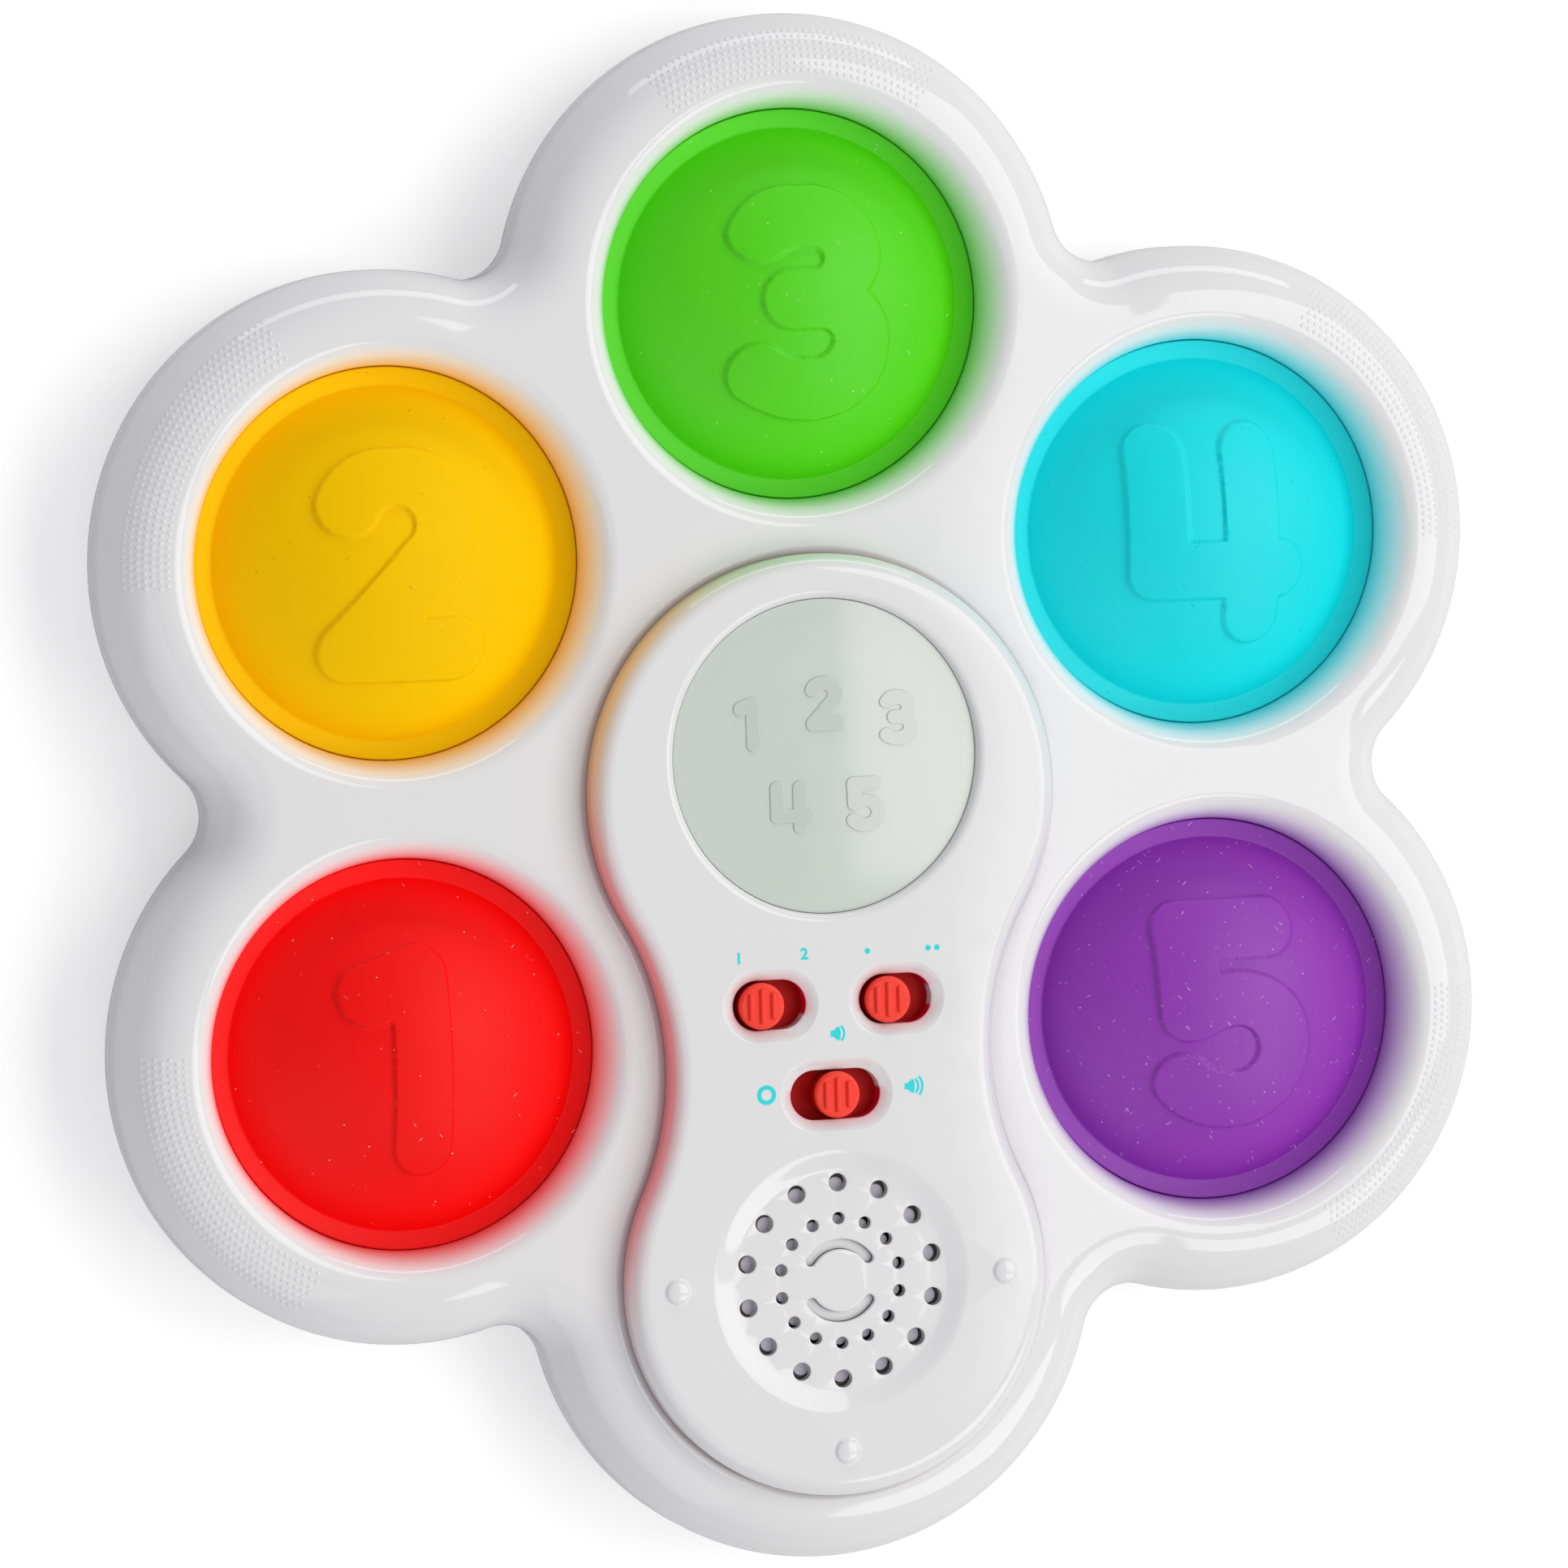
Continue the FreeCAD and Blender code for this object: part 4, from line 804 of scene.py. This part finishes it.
plain_bubble = bmesh.new()
ring(plain_bubble, 0, 0, bubble_section(), 256)
merge(plain_bubble)
for number, (name, colour, gloss, dust, lint) in silicones.items():
    x, y = bubble_middles[number]
    bm = plain_bubble.copy()
    outline = numeral_outline(number)
    outer = [vert for vert in bm.verts
             if vert.co.xy.length < numeral_reach and vert.co.z > flange_top + 4
             and (vert.co - Vector((0, 0, dome_middle))).length > dome_sphere - 0.5]
    plan = np.array([vert.co.xy for vert in outer])
    depth, inward = inside_distance(plan, outline)
    for edge_depth in (-numeral_slope / 2, numeral_slope / 2):
        off = depth - edge_depth
        near = np.abs(off) < edge_snap
        plan[near] -= inward[near] * off[near, None]
        depth[near] = edge_depth
    share = np.clip(depth / numeral_slope + 0.5, 0, 1)
    raised = numeral_height * share * share * (3 - 2 * share)
    for vert, spot, up in zip(outer, plan, raised):
        level = dome_middle + math.sqrt(dome_sphere ** 2 - spot @ spot)
        out = Vector((spot[0], spot[1], level - dome_middle)).normalized()
        vert.co = Vector((spot[0], spot[1], level)) + out * float(up)
    bmesh.ops.translate(bm, vec=(x, y, 0), verts=bm.verts)
    silicone = moulded(name + "_silicone", colour, 0.5, grain=900, relief=0.03, mottle=0.02,
                       soft=0.15, specular=gloss)
    dusty(silicone, dust, lint)
    bubble = finish_piece(f"bubble_{number}", bm, "", silicone, crease=75)
    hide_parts(f"bubble_{number}_dome", f"bubble_{number}_flange")
    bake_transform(bubble)
plain_bubble.free()


# Display lens: pale translucent plastic, slightly domed, clamped behind the console. Small plain
# numerals stand in low relief on it.
lens_edge = 32.6
lens_crown = 0.9
lens_under = 30.4
lens_side = lens_radius - 0.12
lens_rim = 29.0
lens_rows = 40
crown_sphere = (lens_side ** 2 + lens_crown ** 2) / (2 * lens_crown)
lens_top = lens_edge + lens_crown
lens_plastic = moulded("lens_plastic", (0.64, 0.70, 0.64), 0.1, grain=60, relief=0.006,
                       mottle=0.01, soft=0.2, specular=0.65)


def lens_level(out):
    return lens_top - crown_sphere + math.sqrt(crown_sphere ** 2 - out ** 2)


bm = bmesh.new()
section = [(lens_side * i / lens_rows, lens_level(lens_side * i / lens_rows))
           for i in range(lens_rows + 1)]
section += [(lens_side, console_under), (lens_rim, console_under), (lens_rim, lens_under),
            (0, lens_under)]
ring(bm, *lens_middle, section, 160)
merge(bm)
lens_numeral_scale = 0.24
lens_numeral_sink = 0.1
lens_numeral_rise = 0.2
lens_numerals = {1: (-13.0, 6.0), 2: (0.0, 9.0), 3: (13.0, 6.0), 4: (-6.5, -8.5), 5: (6.5, -8.5)}
for number, (x, y) in lens_numerals.items():
    slab = bmesh.new()
    rim = [slab.verts.new((px * lens_numeral_scale, py * lens_numeral_scale, -lens_numeral_sink))
           for px, py in numeral_outline(number)]
    face = slab.faces.new(rim)
    raised = bmesh.ops.extrude_face_region(slab, geom=[face])["geom"]
    top = [item for item in raised if isinstance(item, bmesh.types.BMVert)]
    bmesh.ops.translate(slab, vec=(0, 0, lens_numeral_sink + lens_numeral_rise), verts=top)
    rims = [edge for edge in slab.edges if all(vert in top for vert in edge.verts)]
    bmesh.ops.bevel(slab, geom=rims, offset=0.12, segments=3, profile=0.5, affect="EDGES",
                    material=-1)
    bmesh.ops.recalc_face_normals(slab, faces=slab.faces)
    seat = Matrix.Translation((x + lens_middle[0], y + lens_middle[1],
                               lens_level(math.hypot(x, y))))
    lean = Vector((0, 0, 1)).rotation_difference(Vector((x, y, crown_sphere)).normalized())
    bmesh.ops.transform(slab, matrix=seat @ lean.to_matrix().to_4x4(), verts=slab.verts)
    join(bm, slab)
lens = finish_piece("display_lens_skin", bm, "casing", lens_plastic)
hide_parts("display_lens")


# Slide knobs: three red caps with ridges, each moulded on a flat plate that slides under the
# console and hides the slot.
knob_radius = 4.0
knob_top = 35.3
knob_round = 0.5
rib_height = 0.6
rib_width = 0.9
rib_pitch = 2.0
cap = knob_top - rib_height
# Below this height the knob is painted a darker red as shade.
painted_shade_below = 33.5
plate_top = 30.2
plate_bottom = 29.6
plate_width = 10.6
plate_spare = 1.0
knob_red = moulded("red_knob_plastic", (0.96, 0.045, 0.022), 0.3, grain=500, relief=0.02,
                   specular=0.35)
# A darker copy of the knob's red: painted shade on the plate and the cap's lower side.
painted_shade_red = moulded("red_plate_painted_shade", (0.42, 0.0, 0.0), 0.5, grain=500, relief=0.02, specular=0.15)
for name, (slot_x, y, reach) in knob_slots.items():
    x = slot_x if name == "volume" else slot_x - reach
    half = slot_half_width + 2 * reach + plate_spare
    bm = bmesh.new()
    plate = bmesh.ops.create_cube(bm, size=1.0)["verts"]
    bmesh.ops.scale(bm, vec=(2 * half, plate_width, plate_top - plate_bottom), verts=plate)
    bmesh.ops.translate(bm, vec=(x, y, (plate_top + plate_bottom) / 2), verts=plate)
    bmesh.ops.bevel(bm, geom=list(bm.edges), offset=0.2, segments=2, profile=0.5, affect="EDGES",
                    material=-1)
    ring(bm, x, y, [(0, plate_top - 0.2), (knob_radius, plate_top - 0.2),
                    (knob_radius, painted_shade_below)]
         + quarter(knob_radius - knob_round, cap - knob_round, knob_round, knob_round, 0, 90, 8)
         + [(0, cap)], 64)
    bmesh.ops.remove_doubles(bm, verts=bm.verts, dist=0.004)
    for step, length in enumerate((4.6, 6.0, 4.6)):
        rib = bmesh.ops.create_cube(bm, size=1.0)["verts"]
        bmesh.ops.scale(bm, vec=(rib_width, length, 2 * rib_height), verts=rib)
        bmesh.ops.translate(bm, vec=(x + (step - 1) * rib_pitch, y, cap), verts=rib)
        edges = {edge for vert in rib for edge in vert.link_edges}
        bmesh.ops.bevel(bm, geom=list(edges), offset=0.3, segments=4, profile=0.5, affect="EDGES",
                        material=-1)
    # Faces low on the knob take the darker red as painted shade.
    for face in bm.faces:
        face.material_index = face.calc_center_median().z < painted_shade_below
    bmesh.ops.recalc_face_normals(bm, faces=bm.faces)
    knob = finish_piece(name + "_knob_skin", bm, name + "_slider", knob_red)
    knob.data.materials.append(painted_shade_red)
    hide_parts(name + "_knob")


# Printed marks beside the knobs: a thin turquoise print with numbers, dots, a ring for off and
# two sound signs.
print_level = console_top + 0.03
print_foot = console_top - 0.02
line_width = 0.42
band_steps = 12
turquoise = moulded("turquoise_print", (0.0, 0.72, 0.74), 0.4, grain=900, relief=0.02)
bm = bmesh.new()


def printed(points, x, y):
    """Raises a flat outline from just under the console's face to the level of the print."""
    face = bm.faces.new([bm.verts.new((x + px, y + py, print_foot)) for px, py in points])
    raised = bmesh.ops.extrude_face_region(bm, geom=[face])["geom"]
    bmesh.ops.translate(bm, vec=(0, 0, print_level - print_foot),
                        verts=[item for item in raised if isinstance(item, bmesh.types.BMVert)])


def arc_band(radius, half_turn, x, y):
    """Prints a bent line, open to the left."""
    turns = [math.radians(half_turn * (2 * i / band_steps - 1)) for i in range(band_steps + 1)]
    outer, inner = [[(edge * math.cos(turn), edge * math.sin(turn)) for turn in turns]
                    for edge in (radius + line_width / 2, radius - line_width / 2)]
    printed(outer + inner[::-1], x, y)


def disc(radius, x, y):
    """Prints a dot."""
    printed([(radius * math.cos(2 * math.pi * i / 24), radius * math.sin(2 * math.pi * i / 24))
             for i in range(24)], x, y)


speaker_sign = [(-1.35, -0.5), (-0.85, -0.55), (-0.05, -1.2), (0.25, -1.15), (0.45, -0.6),
                (0.5, 0.0), (0.45, 0.6), (0.25, 1.15), (-0.05, 1.2), (-0.85, 0.55), (-1.35, 0.5)]
printed(speaker_sign, 0.5, -41.2)
arc_band(1.75, 46, -0.15, -41.2)
printed(speaker_sign, 13.5, -51.0)
arc_band(1.75, 44, 12.85, -51.0)
arc_band(2.5, 40, 12.85, -51.0)
ring(bm, -12.6, -51.1, [(0.95, print_foot), (0.95, print_level), (1.7, print_level),
                        (1.7, print_foot)], 40)
for x in (6.2, 17.1, 18.7):
    disc(0.5, x, -27.3)
for text, x, y in (("1", -16.8, -27.5), ("2", -5.1, -27.3)):
    lettering = bpy.data.curves.new("number", "FONT")
    lettering.body = text
    lettering.size = 2.7
    lettering.extrude = 0.02
    lettering.offset = 0.09
    lettering.align_x = "CENTER"
    lettering.align_y = "CENTER"
    holder = bpy.data.objects.new("number", lettering)
    holder.location = (x, y, print_level - 0.02)
    bpy.context.scene.collection.objects.link(holder)
    bpy.context.view_layer.update()
    carrier = bpy.data.meshes.new_from_object(holder)
    carrier.transform(holder.matrix_world)
    bm.from_mesh(carrier)
    bpy.data.objects.remove(holder)
    bpy.data.meshes.remove(carrier)
bmesh.ops.recalc_face_normals(bm, faces=bm.faces)
finish_piece("printed_marks", bm, "casing", turquoise)


# Inner and lower pieces: boards, switches, cells, speaker, plungers, screws and feet keep their
# own solids. Each takes the finish of its real material here, by the name of its slot.
finishes = {
    "white_plastic": white_gloss,
    "red_plastic": knob_red,
    "lens_plastic": lens_plastic,
    "clear_grey_plastic": moulded("plunger_plastic", (0.55, 0.56, 0.58), 0.4),
    "grey_plastic": moulded("inner_grey_plastic", (0.45, 0.45, 0.46), 0.45),
    "circuit_board": moulded("board_lacquer", (0.03, 0.18, 0.07), 0.35, mottle=0.2),
    "black_plastic": moulded("black_plastic", (0.03, 0.03, 0.03), 0.5),
    "led_plastic": moulded("lamp_resin", (0.85, 0.85, 0.80), 0.2),
    "speaker_paper": moulded("speaker_paper", (0.05, 0.05, 0.05), 0.8, grain=1500, relief=0.3),
    "foam": moulded("gasket_foam", (0.06, 0.06, 0.06), 0.9, grain=2500, relief=0.5),
    "cell_jacket": moulded("cell_jacket", (0.10, 0.12, 0.20), 0.3, mottle=0.1),
    "foot_rubber": moulded("foot_rubber", (0.12, 0.12, 0.12), 0.7, grain=1200, relief=0.2),
}
finishes["steel"] = moulded("zinc_plated_steel", (0.62, 0.62, 0.64), 0.3, grain=1500,
                            relief=0.05, mottle=0.06)
finishes["capacitor_can"] = moulded("aluminium_can", (0.70, 0.70, 0.72), 0.35, grain=900,
                                    relief=0.05)
for slot in ("steel", "capacitor_can"):
    finishes[slot].node_tree.nodes["Principled BSDF"].inputs["Metallic"].default_value = 1.0
slots = {row["node"]: row["material_slot"] for row in frame["record"]["subparts"]}
for node, piece in frame["nodes"].items():
    if slots[node] in finishes:
        piece.data.materials.clear()
        piece.data.materials.append(finishes[slots[node]])


# Pale floor: a flat grey-white sheet under the toy that shows its shadow. To the camera it glows
# a little, so that it reads as the photograph's white ground.
floor_size = 3.0
bm = bmesh.new()
bmesh.ops.create_grid(bm, x_segments=2, y_segments=2, size=floor_size)
mesh = bpy.data.meshes.new("floor")
bm.to_mesh(mesh)
bm.free()
floor = bpy.data.objects.new("floor", mesh)
bpy.context.scene.collection.objects.link(floor)
pale = bpy.data.materials.new("pale_floor")
pale.use_nodes = True
nodes = pale.node_tree.nodes
link = pale.node_tree.links.new
diffuse = nodes.new("ShaderNodeBsdfDiffuse")
diffuse.inputs["Color"].default_value = (0.80, 0.80, 0.80, 1)
glow = nodes.new("ShaderNodeEmission")
glow.inputs["Strength"].default_value = 0.40
seen = nodes.new("ShaderNodeLightPath")
both = nodes.new("ShaderNodeAddShader")
pick = nodes.new("ShaderNodeMixShader")
link(diffuse.outputs[0], both.inputs[0])
link(glow.outputs[0], both.inputs[1])
link(seen.outputs["Is Camera Ray"], pick.inputs["Fac"])
link(diffuse.outputs[0], pick.inputs[1])
link(both.outputs[0], pick.inputs[2])
link(pick.outputs[0], nodes["Material Output"].inputs["Surface"])
nodes.remove(nodes["Principled BSDF"])
mesh.materials.append(pale)


# Soft studio light: two long soft boxes end to end, high on the right, a broad fill from the left
# front, a low strip behind the toy that draws a thin line along its far edges, and the pale room.
world = bpy.data.worlds.new("studio")
bpy.context.scene.world = world
world.use_nodes = True
world.node_tree.nodes["Background"].inputs["Color"].default_value = (0.95, 0.95, 1.0, 1)
world.node_tree.nodes["Background"].inputs["Strength"].default_value = 0.36


def lamp(name, azimuth, from_zenith, distance, along, size, power, colour=(1, 1, 1)):
    """A flat lamp square to a direction from the toy, moved sideways along its own plane."""
    light = bpy.data.lights.new(name, "AREA")
    light.shape = "RECTANGLE"
    light.size, light.size_y = size
    light.energy = power
    light.color = colour
    holder = bpy.data.objects.new(name, light)
    aim = Matrix.Rotation(math.radians(azimuth), 4, "Z") @ Matrix.Rotation(
        math.radians(from_zenith), 4, "Y")
    holder.matrix_world = aim @ Matrix.Translation((0, along, distance))
    bpy.context.scene.collection.objects.link(holder)


cream = (1.0, 0.985, 0.955)
lamp("long_box_back", 0, 38, 2.6, 0.6, (1.9, 2.2), 34.5, cream)
lamp("long_box_front", 0, 38, 2.6, -1.5, (1.9, 1.2), 21.0, cream)
lamp("broad_fill", -130, 48, 2.6, 0.0, (2.6, 2.6), 15.0)
lamp("low_strip", 82, 79, 1.6, 0.0, (0.34, 2.0), 6.0)


# Camera: a long lens high above the toy and looking down on it at the photograph's angle. Its
# turns, its place and its lens were fitted to the photograph.
def turn_about(axis, degrees):
    return Matrix.Rotation(math.radians(degrees), 3, axis)


view = turn_about("Z", 1.743) @ turn_about("X", 3.549) @ turn_about("Y", 16.242)
camera_spot = Vector((-0.003473, 0.000993, 1.3616))
looked_at = Vector((0, 0, 0.0196))
camera = bpy.data.objects.new("camera", bpy.data.cameras.new("camera"))
camera.data.sensor_width = 36.0
camera.data.lens = 180.64
camera.data.clip_end = 10.0
place = view.transposed() @ camera_spot + looked_at
camera.matrix_world = Matrix.Translation(place) @ view.transposed().to_4x4()
bpy.context.scene.collection.objects.link(camera)
bpy.context.scene.camera = camera
bpy.context.scene.view_settings.view_transform = "Standard"
